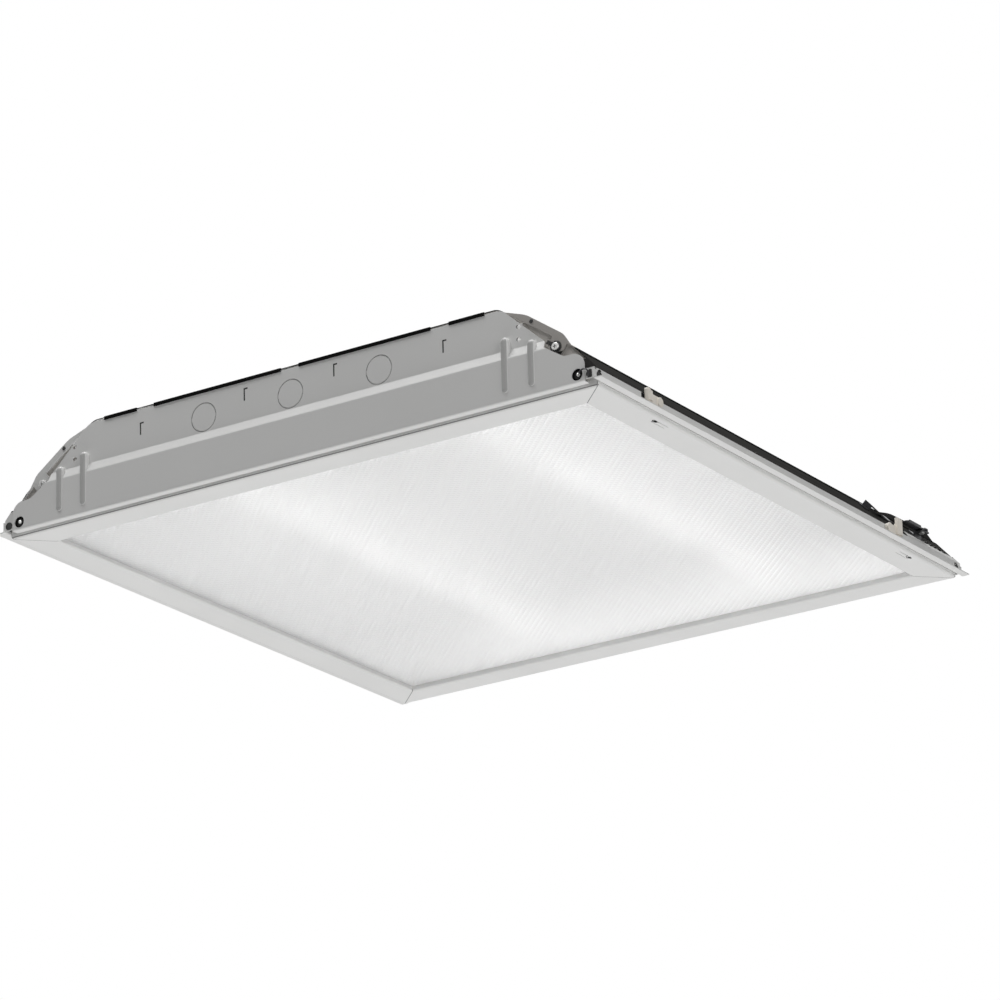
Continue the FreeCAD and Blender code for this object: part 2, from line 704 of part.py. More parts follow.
def corner_screw():
    spot, way = corner_screw_spot()
    return screw(spot, way, SCREW_LENGTH)


# ---------------------------------------------------------------- door

def rail_section():
    """Section of the right rail: lens lip, face and outer wall."""
    return [
        (OPENING_HALF, RAIL_LIP, 0),
        (OPENING_HALF, 0, RAIL_BEND),
        (DOOR_HALF, 0, RAIL_BEND),
        (DOOR_HALF, RAIL_WALL, 0),
    ]


def plain_rail():
    """Right rail with mitred ends."""
    long_rail = bent_sheet(rail_section(), SHEET, on_xz(-DOOR_HALF), vec(0, 2 * DOOR_HALF, 0))
    reach = DOOR_HALF + PAST
    mitre = [
        (MITRE_GAP, 0, 0),
        (reach + MITRE_GAP, -reach, 0),
        (reach + MITRE_GAP, reach, 0),
    ]
    return long_rail.common(prism(mitre, on_xy(-PAST), vec(0, 0, RAIL_WALL + 2 * PAST)))


def access_tongue(side):
    """Sheared tongue in the right rail's face, open at its outer end, beside a latch."""
    x1 = DOOR_HALF - ACCESS_INSET
    x0 = x1 - ACCESS_WIDTH
    y0 = ACCESS_Y[side] - ACCESS_LENGTH / 2
    y1 = y0 + ACCESS_LENGTH
    mouth_y = y0 if side < 0 else y1
    high = SHEET + PAST
    wedge = [(x0, mouth_y, 0), (x1, mouth_y, 0), (x1, mouth_y - side * ACCESS_MOUTH, 0)]
    mouth = prism(wedge, on_xy(-PAST), vec(0, 0, high + PAST))
    inner = box(x0, x0 + SLIT, y0, y1, -PAST, high)
    outer = box(x1 - SLIT, x1, y0, y1, -PAST, high)
    return one([mouth, inner, outer])


def right_rail():
    return plain_rail().cut([access_tongue(-1), access_tongue(1)])


def left_rail():
    """Left rail, with its wall cut away at the hinges."""
    rail = turned(plain_rail(), 180)
    width = BRACKET_WIDTH + 2 * (HINGE_PLAY + EAR_WIDTH + HINGE_PLAY)
    cuts = []
    for side in (-1, 1):
        y = side * HINGE_Y
        cuts.append(box(-DOOR_HALF - PAST, -DOOR_HALF + SHEET, y - width / 2, y + width / 2,
                        SHEET + RAIL_BEND, RAIL_WALL + PAST))
    return rail.cut(cuts)


def corner_key():
    """Flat L-shaped key in the near right corner of the door."""
    outer = DOOR_HALF - SHEET - KEY_INSET
    inner = outer - KEY_WIDTH
    corners = [
        (outer, -outer, 0),
        (outer, -outer + KEY_LEG, 0),
        (inner, -outer + KEY_LEG, 0),
        (inner, -inner, 0),
        (outer - KEY_LEG, -inner, 0),
        (outer - KEY_LEG, -outer, 0),
    ]
    return prism(corners, on_xy(SHEET), vec(0, 0, KEY_THICKNESS))


def key_rivets():
    """Two rivet heads on one corner key."""
    middle = DOOR_HALF - SHEET - KEY_INSET - KEY_WIDTH / 2
    away = KEY_LEG - KEY_WIDTH
    z = SHEET + KEY_THICKNESS
    found = []
    for x, y in ((middle, -middle + away), (middle - away, -middle)):
        head = rod(RIVET_RADIUS, vec(x, y, z), vec(x, y, z + RIVET_HEIGHT))
        found.append(head.makeFillet(RIVET_HEIGHT / 2, [head.Edges[0]]))
    return found


def all_round(shapes):
    return [turned(shape, 90 * k) for k in range(4) for shape in shapes]


def lens():
    return box(-LENS_HALF, LENS_HALF, -LENS_HALF, LENS_HALF, LENS_Z, LENS_Z + LENS_THICKNESS)


def lens_clips():
    """Spring clips on the rails that hold the lens down, two on each rail."""
    top = LENS_Z + LENS_THICKNESS
    riser = LENS_HALF + LENS_PLAY
    path = [
        (riser - CLIP_REACH, top, 0),
        (riser, top, 0),
        (riser, SHEET, 0),
        (riser + CLIP_REACH, SHEET, 0),
    ]
    clip = bent_sheet(path, CLIP_SHEET, on_xz(-CLIP_WIDTH / 2), vec(0, CLIP_WIDTH, 0))
    found = []
    for offset in (CLIP_INSET - LENS_HALF, LENS_HALF - CLIP_INSET):
        moved = clip.copy()
        moved.translate(vec(0, offset, 0))
        found.append(moved)
    return all_round(found)


# ---------------------------------------------------------------- hinge

def hinge_bracket(side):
    """Bracket inside the left lip whose arm reaches over the door's wall to the pin."""
    y0 = side * HINGE_Y - BRACKET_WIDTH / 2
    y1 = y0 + BRACKET_WIDTH
    wall = -LIP_X
    arm_z = BRACKET_ARM_RISE
    path = [
        (wall, arm_z + BRACKET_FOOT, 0),
        (wall, arm_z, 0),
        (PIN_X + SHEET / 2, arm_z, 0),
        (PIN_X + SHEET / 2, HINGE_RISE, 0),
    ]
    arm = bent_sheet(path, SHEET, on_xz(y0), vec(0, BRACKET_WIDTH, 0))
    knuckle = rod(KNUCKLE_RADIUS, vec(PIN_X, y0, HINGE_RISE), vec(PIN_X, y1, HINGE_RISE))
    bore = rod(PIN_RADIUS, vec(PIN_X, y0 - PAST, HINGE_RISE), vec(PIN_X, y1 + PAST, HINGE_RISE))
    return one([arm, knuckle]).cut(bore)


def hinge_pin(side):
    reach = BRACKET_WIDTH / 2 + HINGE_PLAY + EAR_WIDTH
    y = side * HINGE_Y
    return rod(PIN_RADIUS, vec(PIN_X, y - reach, HINGE_RISE), vec(PIN_X, y + reach, HINGE_RISE))


def hinge_ears(side):
    """Two knuckles of the door, one each side of a bracket."""
    found = []
    for way in (-1, 1):
        near = side * HINGE_Y + way * (BRACKET_WIDTH / 2 + HINGE_PLAY)
        far = near + way * EAR_WIDTH
        y0 = min(near, far)
        y1 = y0 + EAR_WIDTH
        knuckle = rod(KNUCKLE_RADIUS, vec(PIN_X, y0, HINGE_RISE), vec(PIN_X, y1, HINGE_RISE))
        foot = box(PIN_X, PIN_X + EAR_FOOT, y0, y1, SHEET, 2 * SHEET)
        web = box(PIN_X - SHEET / 2, PIN_X + KNUCKLE_RADIUS, y0, y1, SHEET, HINGE_RISE)
        bore = rod(PIN_RADIUS + PIN_CLEARANCE, vec(PIN_X, y0 - PAST, HINGE_RISE),
                   vec(PIN_X, y1 + PAST, HINGE_RISE))
        found.append(one([knuckle, foot, web]).cut(bore))
    return found


# ---------------------------------------------------------------- latches

def latch(side):
    """Latch lever on the right lip: round pivot end, arm, upright finger and nose."""
    pivot_y = LATCH_Y[side]
    finger_y = pivot_y + side * LATCH_REACH
    pivot_z = FACE_Z + LATCH_RISE
    x0 = LATCH_X
    x1 = x0 + LATCH_THICKNESS
    disc = rod(LATCH_END_RADIUS, vec(x0, pivot_y, pivot_z), vec(x1, pivot_y, pivot_z))
    arm = box(x0, x1, min(pivot_y, finger_y), max(pivot_y, finger_y),
              pivot_z - LATCH_END_RADIUS, pivot_z + LATCH_END_RADIUS)
    foot_z = FACE_Z + FINGER_FOOT_RISE
    left = finger_y - FINGER_WIDTH / 2
    right = finger_y + FINGER_WIDTH / 2
    top_z = FACE_Z + FINGER_TOP_RISE
    outline = [
        (left, foot_z, 0),
        (right, foot_z, 0),
        (right, top_z, FINGER_CORNER),
        (left, top_z, FINGER_CORNER),
    ]
    finger = prism(outline, on_yz(x0), vec(LATCH_THICKNESS, 0, 0))
    bump_z = top_z - FINGER_WIDTH / 2
    bump = rod(BUMP_RADIUS, vec(x1, finger_y, bump_z), vec(x1 + SHEET, finger_y, bump_z))
    nose = box(DOOR_HALF + LATCH_PLAY, x0, left, right, foot_z, foot_z + NOSE_HEIGHT)
    hole = rod(LATCH_PIN_RADIUS + PIN_CLEARANCE, vec(x0 - PAST, pivot_y, pivot_z),
               vec(x1 + PAST, pivot_y, pivot_z))
    return one([disc, arm, finger, bump, nose]).cut(hole)


def latch_rivet(side):
    """Rivet that carries a latch on the lip."""
    y = LATCH_Y[side]
    z = FACE_Z + LATCH_RISE
    inside = LIP_X - DOOR_GAP / 2
    outside = LATCH_X + LATCH_THICKNESS + ARM_PLAY
    shank = rod(LATCH_PIN_RADIUS, vec(inside, y, z), vec(outside + SHEET, y, z))
    tail = rod(LATCH_TAIL_RADIUS, vec(inside, y, z), vec(LIP_X, y, z))
    head = rod(LATCH_HEAD_RADIUS, vec(outside, y, z), vec(outside + SHEET, y, z))
    return one([shank, tail, head])


# ---------------------------------------------------------------- grid clips and straps

def clip_post():
    """Bent post on the lower slope, with a level shelf for the clip's pivot."""
    y0 = CLIP_POST_Y - CLIP_POST_WIDTH / 2
    foot_x, foot_z = slope_point(CLIP_POST_AT + CLIP_POST_FOOT, 0)
    knee_x, knee_z = slope_point(CLIP_POST_AT, 0)
    shelf_z = FACE_Z + CLIP_POST_RISE
    path = [
        (foot_x, foot_z, 0),
        (knee_x, knee_z, 0),
        (knee_x, shelf_z, 0),
        (knee_x + CLIP_SHELF, shelf_z, 0),
    ]
    post = bent_sheet(path, CLIP_STEEL, on_xz(y0), vec(0, CLIP_POST_WIDTH, 0))
    hole = rod(ARM_PIN_RADIUS, vec(clip_pivot_x(), CLIP_POST_Y, shelf_z - CLIP_STEEL * 2),
               vec(clip_pivot_x(), CLIP_POST_Y, shelf_z + CLIP_STEEL * 2))
    return post.cut(hole)


def clip_pivot_x():
    return slope_point(CLIP_POST_AT, 0)[0] + CLIP_SHELF / 2


def arm_floor():
    return FACE_Z + CLIP_POST_RISE + CLIP_STEEL + ARM_PLAY


def clip_arm():
    """Swinging clip arm, folded along the lip at rest."""
    x = clip_pivot_x()
    z = arm_floor()
    ring = rod(ARM_RING_RADIUS, vec(x, CLIP_POST_Y, z), vec(x, CLIP_POST_Y, z + CLIP_STEEL))
    outline = [
        (x - ARM_WIDTH / 2, CLIP_POST_Y - ARM_LENGTH, ARM_WIDTH / 3),
        (x + ARM_WIDTH / 2, CLIP_POST_Y - ARM_LENGTH, ARM_WIDTH / 3),
        (x + ARM_WIDTH / 2, CLIP_POST_Y, 0),
        (x - ARM_WIDTH / 2, CLIP_POST_Y, 0),
    ]
    bar = prism(outline, on_xy(z), vec(0, 0, CLIP_STEEL))
    rib = box(x + ARM_WIDTH / 2 - CLIP_STEEL, x + ARM_WIDTH / 2, CLIP_POST_Y - ARM_RIB_END,
              CLIP_POST_Y - ARM_RIB_START, z, z + ARM_RIB_HEIGHT)
    hole = rod(ARM_PIN_RADIUS + PIN_CLEARANCE, vec(x, CLIP_POST_Y, z - PAST),
               vec(x, CLIP_POST_Y, z + CLIP_STEEL + PAST))
    return one([ring, bar, rib]).cut(hole)


def clip_rivet():
    x = clip_pivot_x()
    shelf_z = FACE_Z + CLIP_POST_RISE
    tail_z = shelf_z - CLIP_STEEL / 2
    head_z = arm_floor() + CLIP_STEEL + ARM_PLAY
    top = head_z + CLIP_STEEL
    shank = rod(ARM_PIN_RADIUS, vec(x, CLIP_POST_Y, tail_z), vec(x, CLIP_POST_Y, top))
    tail = rod(ARM_TAIL_RADIUS, vec(x, CLIP_POST_Y, tail_z), vec(x, CLIP_POST_Y, shelf_z))
    head = rod(ARM_HEAD_RADIUS, vec(x, CLIP_POST_Y, head_z), vec(x, CLIP_POST_Y, top))
    return one([shank, tail, head])


def standoff_strap():
    """Strap on the lower slope that stands off between its two feet."""
    u0, v0 = slope_point(STRAP_AT, 0)
    u1, v1 = slope_point(STRAP_AT, 1)
    out = vec(u1 - u0, 0, v1 - v0)
    u2, v2 = slope_point(STRAP_AT + STRAP_WIDTH, 0)
    across = vec(u2 - u0, 0, v2 - v0)

    def place(p):
        return vec(u0, 0, v0) + out * p.y + vec(0, p.x, 0)

    path = [
        (STRAP_NEAR_Y, 0, 0),
        (STRAP_NEAR_Y + STRAP_FOOT, 0, 0),
        (STRAP_NEAR_Y + STRAP_FOOT, STRAP_LIFT, 0),
        (STRAP_FAR_Y - STRAP_FOOT, 0, 0),
        (STRAP_FAR_Y, 0, 0),
    ]
    return bent_sheet(path, CLIP_STEEL, place, across)


# ---------------------------------------------------------------- lamps and gear

def lampholder(way):
    """Lampholder over the right lamp; way is -1 at the near end and 1 at the far end."""
    front = way * HOLDER_FRONT
    depth = way * HOLDER_DEPTH
    top = LAMP_Z + HOLDER_TOP
    low = LAMP_Z - HOLDER_HALF_WIDTH
    outline = [
        (LAMP_X - HOLDER_HALF_WIDTH, top, HOLDER_CORNER),
        (LAMP_X - HOLDER_HALF_WIDTH, low, HOLDER_CHIN),
        (LAMP_X + HOLDER_HALF_WIDTH, low, HOLDER_CHIN),
        (LAMP_X + HOLDER_HALF_WIDTH, top, HOLDER_CORNER),
    ]
    body = prism(outline, on_xz(front), vec(0, depth, 0))
    axis_start = vec(LAMP_X, front - way, LAMP_Z)
    pocket_end = vec(LAMP_X, front + way * (ROTOR_DEPTH + HOLDER_PLAY), LAMP_Z)
    pocket = rod(ROTOR_RADIUS + ROTOR_CLEARANCE, axis_start, pocket_end)
    slack_end = pocket_end + vec(0, way * HOLDER_SLACK_DEPTH, 0)
    slack = rod(HOLDER_SLACK_RADIUS, axis_start, slack_end)
    return body.cut([pocket, slack])


def rotor(way):
    """Turning core of a lampholder, carried round by the lamp's pins."""
    start = vec(LAMP_X, way * HOLDER_FRONT, LAMP_Z)
    core = rod(ROTOR_RADIUS, start, start + vec(0, way * ROTOR_DEPTH, 0))
    holes = [rod(LAMP_PIN_RADIUS + PIN_CLEARANCE, pin[0], pin[1]) for pin in pin_axes(way)]
    return core.cut(holes)


def pin_axes(way):
    found = []
    for offset in (-LAMP_PIN_PITCH / 2, LAMP_PIN_PITCH / 2):
        start = vec(LAMP_X, way * (LAMP_FACE - PAST), LAMP_Z + offset)
        found.append((start, start + vec(0, way * (PAST + LAMP_PIN_LENGTH), 0)))
    return found


def lamp_base(way):
    """Metal base with two pins."""
    face = way * LAMP_FACE
    inner = face - way * BASE_LENGTH
    cup = rod(BASE_RADIUS, vec(LAMP_X, inner, LAMP_Z), vec(LAMP_X, face, LAMP_Z))
    seat_end = face - way * BASE_WALL
    seat = rod(LAMP_RADIUS, vec(LAMP_X, inner, LAMP_Z), vec(LAMP_X, seat_end, LAMP_Z))
    pins = [rod(LAMP_PIN_RADIUS, pin[0], pin[1]) for pin in pin_axes(way)]
    return one([cup.cut(seat)] + pins)


def lamp_tube():
    end = LAMP_FACE - BASE_WALL
    outer = rod(LAMP_RADIUS, vec(LAMP_X, -end, LAMP_Z), vec(LAMP_X, end, LAMP_Z))
    inner = rod(LAMP_RADIUS - GLASS_WALL, vec(LAMP_X, -end, LAMP_Z), vec(LAMP_X, end, LAMP_Z))
    return outer.cut(inner)


def socket_bar():
    """Near bar that carries the lampholders under the top."""
    path = [
        (BAR_FOOT - BAR_BACK, CEILING_Z, 0),
        (-BAR_BACK, CEILING_Z, 0),
        (-BAR_BACK, BAR_BOTTOM, 0),
    ]
    return bent_sheet(path, SHEET, on_yz(-BAR_HALF_WIDTH), vec(2 * BAR_HALF_WIDTH, 0, 0))


def ballast():
    half = BALLAST_LENGTH / 2
    low = CEILING_Z - BALLAST_HEIGHT
    can = box(-BALLAST_WIDTH / 2, BALLAST_WIDTH / 2, -half, half, low, CEILING_Z)
    rim = [edge for edge in can.Edges if edge.CenterOfMass.z < low + BALLAST_CORNER / 2]
    can = can.makeFillet(BALLAST_CORNER, rim)
    ears = box(-BALLAST_WIDTH / 2, BALLAST_WIDTH / 2, -half - BALLAST_EAR, half + BALLAST_EAR,
               CEILING_Z - BALLAST_EAR_SHEET, CEILING_Z)
    return one([can, ears])


def ballast_cover():
    low = CEILING_Z - COVER_DEPTH
    left = [
        (-COVER_TOP_HALF - COVER_FOOT, CEILING_Z - SHEET, 0),
        (-COVER_TOP_HALF, CEILING_Z - SHEET, BEND),
        (-COVER_FLOOR_HALF, low, BEND),
    ]
    path = left + [(-x, z, radius) for x, z, radius in left[::-1]]
    cover = bent_sheet(path, SHEET, on_xz(-COVER_END), vec(0, 2 * COVER_END, 0))
    return cover.cut(cover_screw_holes())


def cover_screw_places():
    x = COVER_TOP_HALF + COVER_FOOT / 2
    return [(x, COVER_SCREW_Y), (-x, COVER_SCREW_Y), (x, -COVER_SCREW_Y), (-x, -COVER_SCREW_Y)]


def cover_screw_holes():
    radius = SCREW_RADIUS + SCREW_HOLE_CLEARANCE
    return [rod(radius, vec(x, y, CEILING_Z - 2 * SHEET), vec(x, y, TOP_Z + SHEET))
            for x, y in cover_screw_places()]


def cover_screws():
    """Screws of the ballast cover's feet, their tips level with the top."""
    seat = CEILING_Z - SHEET
    return [screw(vec(x, y, seat), vec(0, 0, 1), TOP_Z - seat) for x, y in cover_screw_places()]


def lead(way, side):
    """Lead from the ballast's end to a lampholder, clipped over the cover all the way."""
    z = CEILING_Z - LEAD_Z_DROP
    y = way * (HOLDER_BACK - HOLDER_DEPTH / 2)
    start = vec(side * LEAD_X, way * (BALLAST_LENGTH / 2), z)
    route = [start, vec(side * LEAD_X, y, z), vec(side * LAMP_X, y, z),
             vec(side * LAMP_X, y, LAMP_Z + HOLDER_TOP)]
    edges = []
    last = route[0]
    for i in range(1, len(route) - 1):
        back = (route[i - 1] - route[i]).normalize()
        ahead = (route[i + 1] - route[i]).normalize()
        entry = route[i] + back * LEAD_BEND
        leave = route[i] + ahead * LEAD_BEND
        centre = entry + ahead * LEAD_BEND
        middle = centre - (back + ahead).normalize() * LEAD_BEND
        edges.append(Part.LineSegment(last, entry).toShape())
        edges.append(Part.Arc(entry, middle, leave).toShape())
        last = leave
    edges.append(Part.LineSegment(last, route[-1]).toShape())
    path = Part.Wire(edges)
    ring = Part.Wire([Part.makeCircle(LEAD_RADIUS, start, vec(0, way, 0))])
    return path.makePipeShell([ring], True, False)


# ---------------------------------------------------------------- all pieces

def build():
    os.makedirs("parts", exist_ok=True)
    save("top_pan", top_pan())
    near_plate = end_plate()
    save("end_plate_near", near_plate)
    save("end_plate_far", turned(near_plate, 180))
    save("corner_gussets", four_corners(corner_gusset()))
    save("corner_screws", four_corners(corner_screw()))
    save("door_rail_right", right_rail())
    save("door_rail_far", turned(plain_rail(), 90))
    save("door_rail_left", left_rail())
    save("door_rail_near", turned(plain_rail(), -90))
    save("corner_keys", all_round([corner_key()]))
    save("key_rivets", all_round(key_rivets()))
    save("lens", lens())
    save("lens_clips", lens_clips())
    for side, name in ((-1, "near"), (1, "far")):
        save("hinge_bracket_" + name, hinge_bracket(side))
        save("hinge_ears_" + name, hinge_ears(side))
        save("latch_" + name, latch(side))
    save("hinge_pins", [hinge_pin(-1), hinge_pin(1)])
    save("latch_rivets", [latch_rivet(-1), latch_rivet(1)])
    for degrees, name in ((0, "right"), (180, "left")):
        save("clip_post_" + name, turned(clip_post(), degrees))
        save("clip_arm_" + name, turned(clip_arm(), degrees))
        save("standoff_strap_" + name, turned(standoff_strap(), degrees))
    save("clip_rivets", [clip_rivet(), turned(clip_rivet(), 180)])
    for way, end in ((-1, "near"), (1, "far")):
        save("lampholder_" + end + "_right", lampholder(way))
        save("lampholder_" + end + "_left", mirrored_x(lampholder(way)))
        save("leads_" + end, [lead(way, 1), lead(way, -1)])
    rotors = [rotor(-1), rotor(1)]
    bases = [lamp_base(-1), lamp_base(1)]
    save("rotors_right", rotors)
    save("rotors_left", [mirrored_x(shape) for shape in rotors])
    save("lamp_bases_right", bases)
    save("lamp_bases_left", [mirrored_x(shape) for shape in bases])
    save("lamp_tube_right", lamp_tube())
    save("lamp_tube_left", mirrored_x(lamp_tube()))
    save("socket_bar_near", socket_bar())
    save("socket_bar_far", mirrored_y(socket_bar()))
    save("ballast", ballast())
    save("ballast_cover", ballast_cover())
    save("cover_screws", cover_screws())


build()
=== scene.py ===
"""Lay-in ceiling troffer with a prismatic lens door, seen from below.

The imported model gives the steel, plastic and glass pieces. This script paints them, models the
prismatic lens, the screws' heads and the small fittings, and sets the camera and the light.
"""
import math

import bpy
from mathutils import Matrix, Vector


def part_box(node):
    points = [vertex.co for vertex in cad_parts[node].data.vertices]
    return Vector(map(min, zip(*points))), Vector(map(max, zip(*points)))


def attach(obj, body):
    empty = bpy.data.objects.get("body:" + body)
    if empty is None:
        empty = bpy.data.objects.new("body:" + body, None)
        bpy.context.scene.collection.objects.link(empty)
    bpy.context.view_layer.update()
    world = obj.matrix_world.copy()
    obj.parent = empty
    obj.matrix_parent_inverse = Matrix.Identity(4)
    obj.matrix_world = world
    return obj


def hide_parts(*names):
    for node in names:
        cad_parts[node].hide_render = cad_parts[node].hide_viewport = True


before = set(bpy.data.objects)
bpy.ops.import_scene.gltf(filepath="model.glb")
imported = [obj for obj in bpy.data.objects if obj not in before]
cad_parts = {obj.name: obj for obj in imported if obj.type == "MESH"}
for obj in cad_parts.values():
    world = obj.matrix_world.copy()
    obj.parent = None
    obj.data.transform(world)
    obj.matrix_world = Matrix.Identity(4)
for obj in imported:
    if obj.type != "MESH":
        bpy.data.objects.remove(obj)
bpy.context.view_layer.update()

bl_info = {
    "name": "Ceiling Troffer",
    "version": (1, 0, 0),
    "blender": (4, 5, 0),
    "location": "3D View > Sidebar > Troffer",
    "description": "Dresses a lay-in ceiling troffer: paint, prismatic lens, fittings and light",
    "category": "Object",
}

BELOW = -0.001  # just below the whole light
ABOVE = 0.09    # just above it

# ---- section of the case's sides, and what is painted on it ----
LIP_FACE = 0.2941                           # outer face of the upright lip
LIP_INSIDE = 0.2929                         # its inner face lies beyond this
LIP_TOP = 0.0141                            # its paint ends here, below the slope
LIP_FOOT = Vector((0.2941, 0.0, 0.0148))    # lower end of the sloping side
SLOPE_TURN = Vector((0.2740, 0.0, 0.0370))  # where it changes slope
CREST = Vector((0.2270, 0.0, 0.0705))
SHOULDER = Vector((0.2700, 0.0, 0.0318))    # painted shade, black along the bend, from here out
SHOULDER_TOP = 0.05
REFLECTOR_HALF = 0.277                      # white inside ends here, beyond the lens; painted shade beyond it on the right
DARK_CORNER = (0.0055, 0.022)               # painted shade inside the right lip, heights
LIP_BACK = (0.0056, 0.03)                   # painted shade on the back of a lip, heights
LIP_BACK_HALF = 0.285                       # and along Y
BAY_END = 0.262                             # painted shade beyond this, inside the near right end
PALE_END = 0.205                            # the lip's paint reaches higher beyond
PALE_LIP = (0.01, 0.0212)                   # between these heights
END_FLANGE = Vector((0.0, 0.2940, 0.036))   # turned-out end of the case starts here
HOOKS = Vector((0.0, 0.29515, 0.0825))
SEAL_FACE = 0.2922                          # outer face of the strip in a lip
SEAL_FOOT = 0.0100
SEAL_LENGTH = 0.586
WEB_PLACE = -0.2932                         # along Y
WEB_SHIFT = 0.54                            # a strip lies this share of its width in

# ---- end plates ----
HANGER_HOLE = Vector((0.2785, 0.2980, 0.0105))
HANGER_RADIUS = 0.0053
BEADS = 0.3004                               # the pressed beads stand out beyond; their tops get painted shade
PLATE_FACE = 0.2960                          # outer face of a plate's upper part
PLATE_INSIDE = (0.27, 0.2949)                # inner face of it, along Y
PLATE_FOOT = 0.012
LANCES = ((0.045, 0.0718), (0.152, 0.0665))  # middles of the lanced tongues, x and z
KNOCKOUT = Vector((0.088, 0.27, 0.0615))     # right one; others at 0 and on the left
KNOCKOUT_RADIUS = 0.0125
KNOCKOUT_LINE = 0.0004                       # half the width of its sheared line
PILOTS = (Vector((0.2221, 0.295, 0.0552)), Vector((0.2221, 0.295, 0.0660)))
PILOT_RADIUS = 0.0016

# ---- door ----
FACE_TOP = 0.0045                                     # the door's face and flange lie below
OPENING_HALF = 0.264
DOOR_WALL = 0.2905                                    # the door's outer wall starts past this
DOOR_EDGE = 0.2930
SEAM = (0.0010, 0.0018)                               # painted shade of the seam on near and far walls, heights
MITRE_HALF = 0.00045                                  # half the width of a corner's dark line
RIM = 0.2911                                          # painted shade along the left and far edges
RIM_TOP = 0.0012
BEHIND_LATCH = (0.0056, 0.0096)                       # painted shade behind the latch notches, heights
TONGUE_SPOTS = ((-0.1985, 0.0036), (0.2185, 0.0042))  # along Y: middle of a tongue mouth's painted shade, its reach
TONGUE_X = 0.2868
TONGUE_WIDTH = 0.0017                                 # reach of the mouth across
TONGUE_BACKS = (Vector((0.2864, -0.190, 0.0034)), Vector((0.2864, 0.210, 0.0034)))
TONGUE_BACK_SIZE = (0.0080, 0.026, 0.0004)
GASKET = Vector((0.29290, 0.0, 0.0039))               # middle of the strip at the right edge
GASKET_LENGTH = 0.583

# ---- latches on the right lip ----
LATCH_SPOTS = ((-0.222, -0.206), (0.184, 0.168))        # along Y: finger, pivot
PAD_FACE = 0.2973                                       # middle of the pads and bosses
PIVOT_HEIGHT = 0.0115
NOTCH_END = Vector((0.00015, 0.0088, 0.0064))           # a wedge's middle, from lip and pivot
NOTCH_WEDGE = Vector((0.0003, 0.0070, 0.0044))          # its size
NOTCH_CUT = Vector((0.0, 0.0053, 0.0086))               # its slope passes here, from the pivot
PADS = (("latch_near_lever", 0.0066, 0.0090, 0.01275),  # body, width, height and middle of a pad
        ("latch_far_lever", 0.0092, 0.0151, 0.0158))

# ---- fixings ----
CORNER_SCREW_SEAT = Vector((0.25691, -0.2952, 0.04059))  # right near corner screw
COVER_SCREW_SEAT = Vector((0.0575, 0.2, 0.0844))         # right far screw of the ballast's cover
FLANGE_RIVET = Vector((0.2346, -0.2951, 0.0678))
WASHER_TAB = Vector((-0.0052, 0.0, 0.0042))              # its middle, from the screw's seat
WASHER_TAB_SIZE = (0.0075, 0.0004, 0.0034)
WASHER_TAB_LEAN = math.radians(35)
HOOK_PLACE = Vector((0.2852, -0.3012, 0.0088))
STUD_PLACE = Vector((0.2801, -0.3004, 0.0099))
STUD_BACK = -0.3001                                      # it is cut flat here

# ---- camera, fitted to the photograph, and light ----
CAMERA_PLACE = Vector((2.2078, -3.4019, -1.4134))
CAMERA_AHEAD = Vector((-0.5104, 0.7898, 0.3402))
CAMERA_UP = Vector((0.2095, -0.2695, 0.9399))
KEY_PLACE = Vector((-0.7, -1.1, 3.8))
FILL_PLACE = Vector((4.0, -1.2, 0.3))
FLOOR_HEIGHT = -7.0
FLOOR_SIZE = 8.0

# ---- turns of a disc's axis ----
UPRIGHT = (0, 0, 0)
ALONG_X = (0, math.radians(90), 0)
ALONG_Y = (math.radians(90), 0, 0)


# ---------------------------------------------------------------- properties

def length(name, description, default):
    return bpy.props.FloatProperty(
        name=name, description=description, default=default, min=0.0, unit="LENGTH", precision=5)


def colour(name, description, default):
    return bpy.props.FloatVectorProperty(
        name=name, description=description, default=default, size=3, min=0.0, max=1.0,
        subtype="COLOR")


def amount(name, description, default, high=1.0):
    return bpy.props.FloatProperty(
        name=name, description=description, default=default, min=0.0, max=high, subtype="FACTOR")


class TrofferSizes(bpy.types.PropertyGroup):
    """Sizes of the pieces that are modelled here."""
    prism_pitch: length("Prism pitch", "Width of one prism of the lens", 0.00476)
    prism_depth: length("Prism depth", "Depth of the hollow in each prism", 0.0007)
    screw_head: length("Screw head", "Radius of a screw's head", 0.0035)
    screw_height: length("Screw height", "Height of a screw's head", 0.0022)
    recess_reach: length("Recess reach", "Length of one arm of the cross recess", 0.0021)
    recess_width: length("Recess width", "Width of one arm of the cross recess", 0.0009)
    recess_depth: length("Recess depth", "Depth of the cross recess", 0.0014)
    web_depth: length("Web depth", "Width of the strips that close the case's corners", 0.013)
    web_sheet: length("Web sheet", "Thickness of those strips", 0.0006)
    # the black strips are painted shade, seen through the lips' holes and notches
    seal_width: length("Seal width", "Thickness of the black foam strips inside the lips", 0.0030)
    seal_height: length("Seal height", "Height of those strips", 0.0052)
    gasket_width: length("Gasket width", "Thickness of the strip at the door's right edge", 0.00074)
    gasket_height: length("Gasket height", "Height of that strip", 0.0009)
    # the washers' black is painted shade round the right corner screws
    washer_radius: length("Washer", "Radius of the tab washers", 0.0052)
    rivet_radius: length("Rivet", "Radius of the end flanges' rivets", 0.0017)
    wire_radius: length("Wire", "Radius of the wire hooks' wire", 0.00065)
    wire_bend: length("Wire bend", "Radius of the wire hooks' bend", 0.0046)
    stud_radius: length("Stud", "Radius of the studs at the hanger holes", 0.0016)
    pad_depth: length("Pad depth", "Thickness of a latch's pad", 0.0026)
    boss_radius: length("Boss", "Radius of the boss over a latch's pivot", 0.0041)
    lance_width: length("Lance width", "Width of a lanced tongue", 0.004)
    lance_height: length("Lance height", "Height of a lanced tongue", 0.011)
    # the black edge is painted shade along the tongue's cut
    lance_edge: length("Lance edge", "Width of the black edge round it", 0.0013)


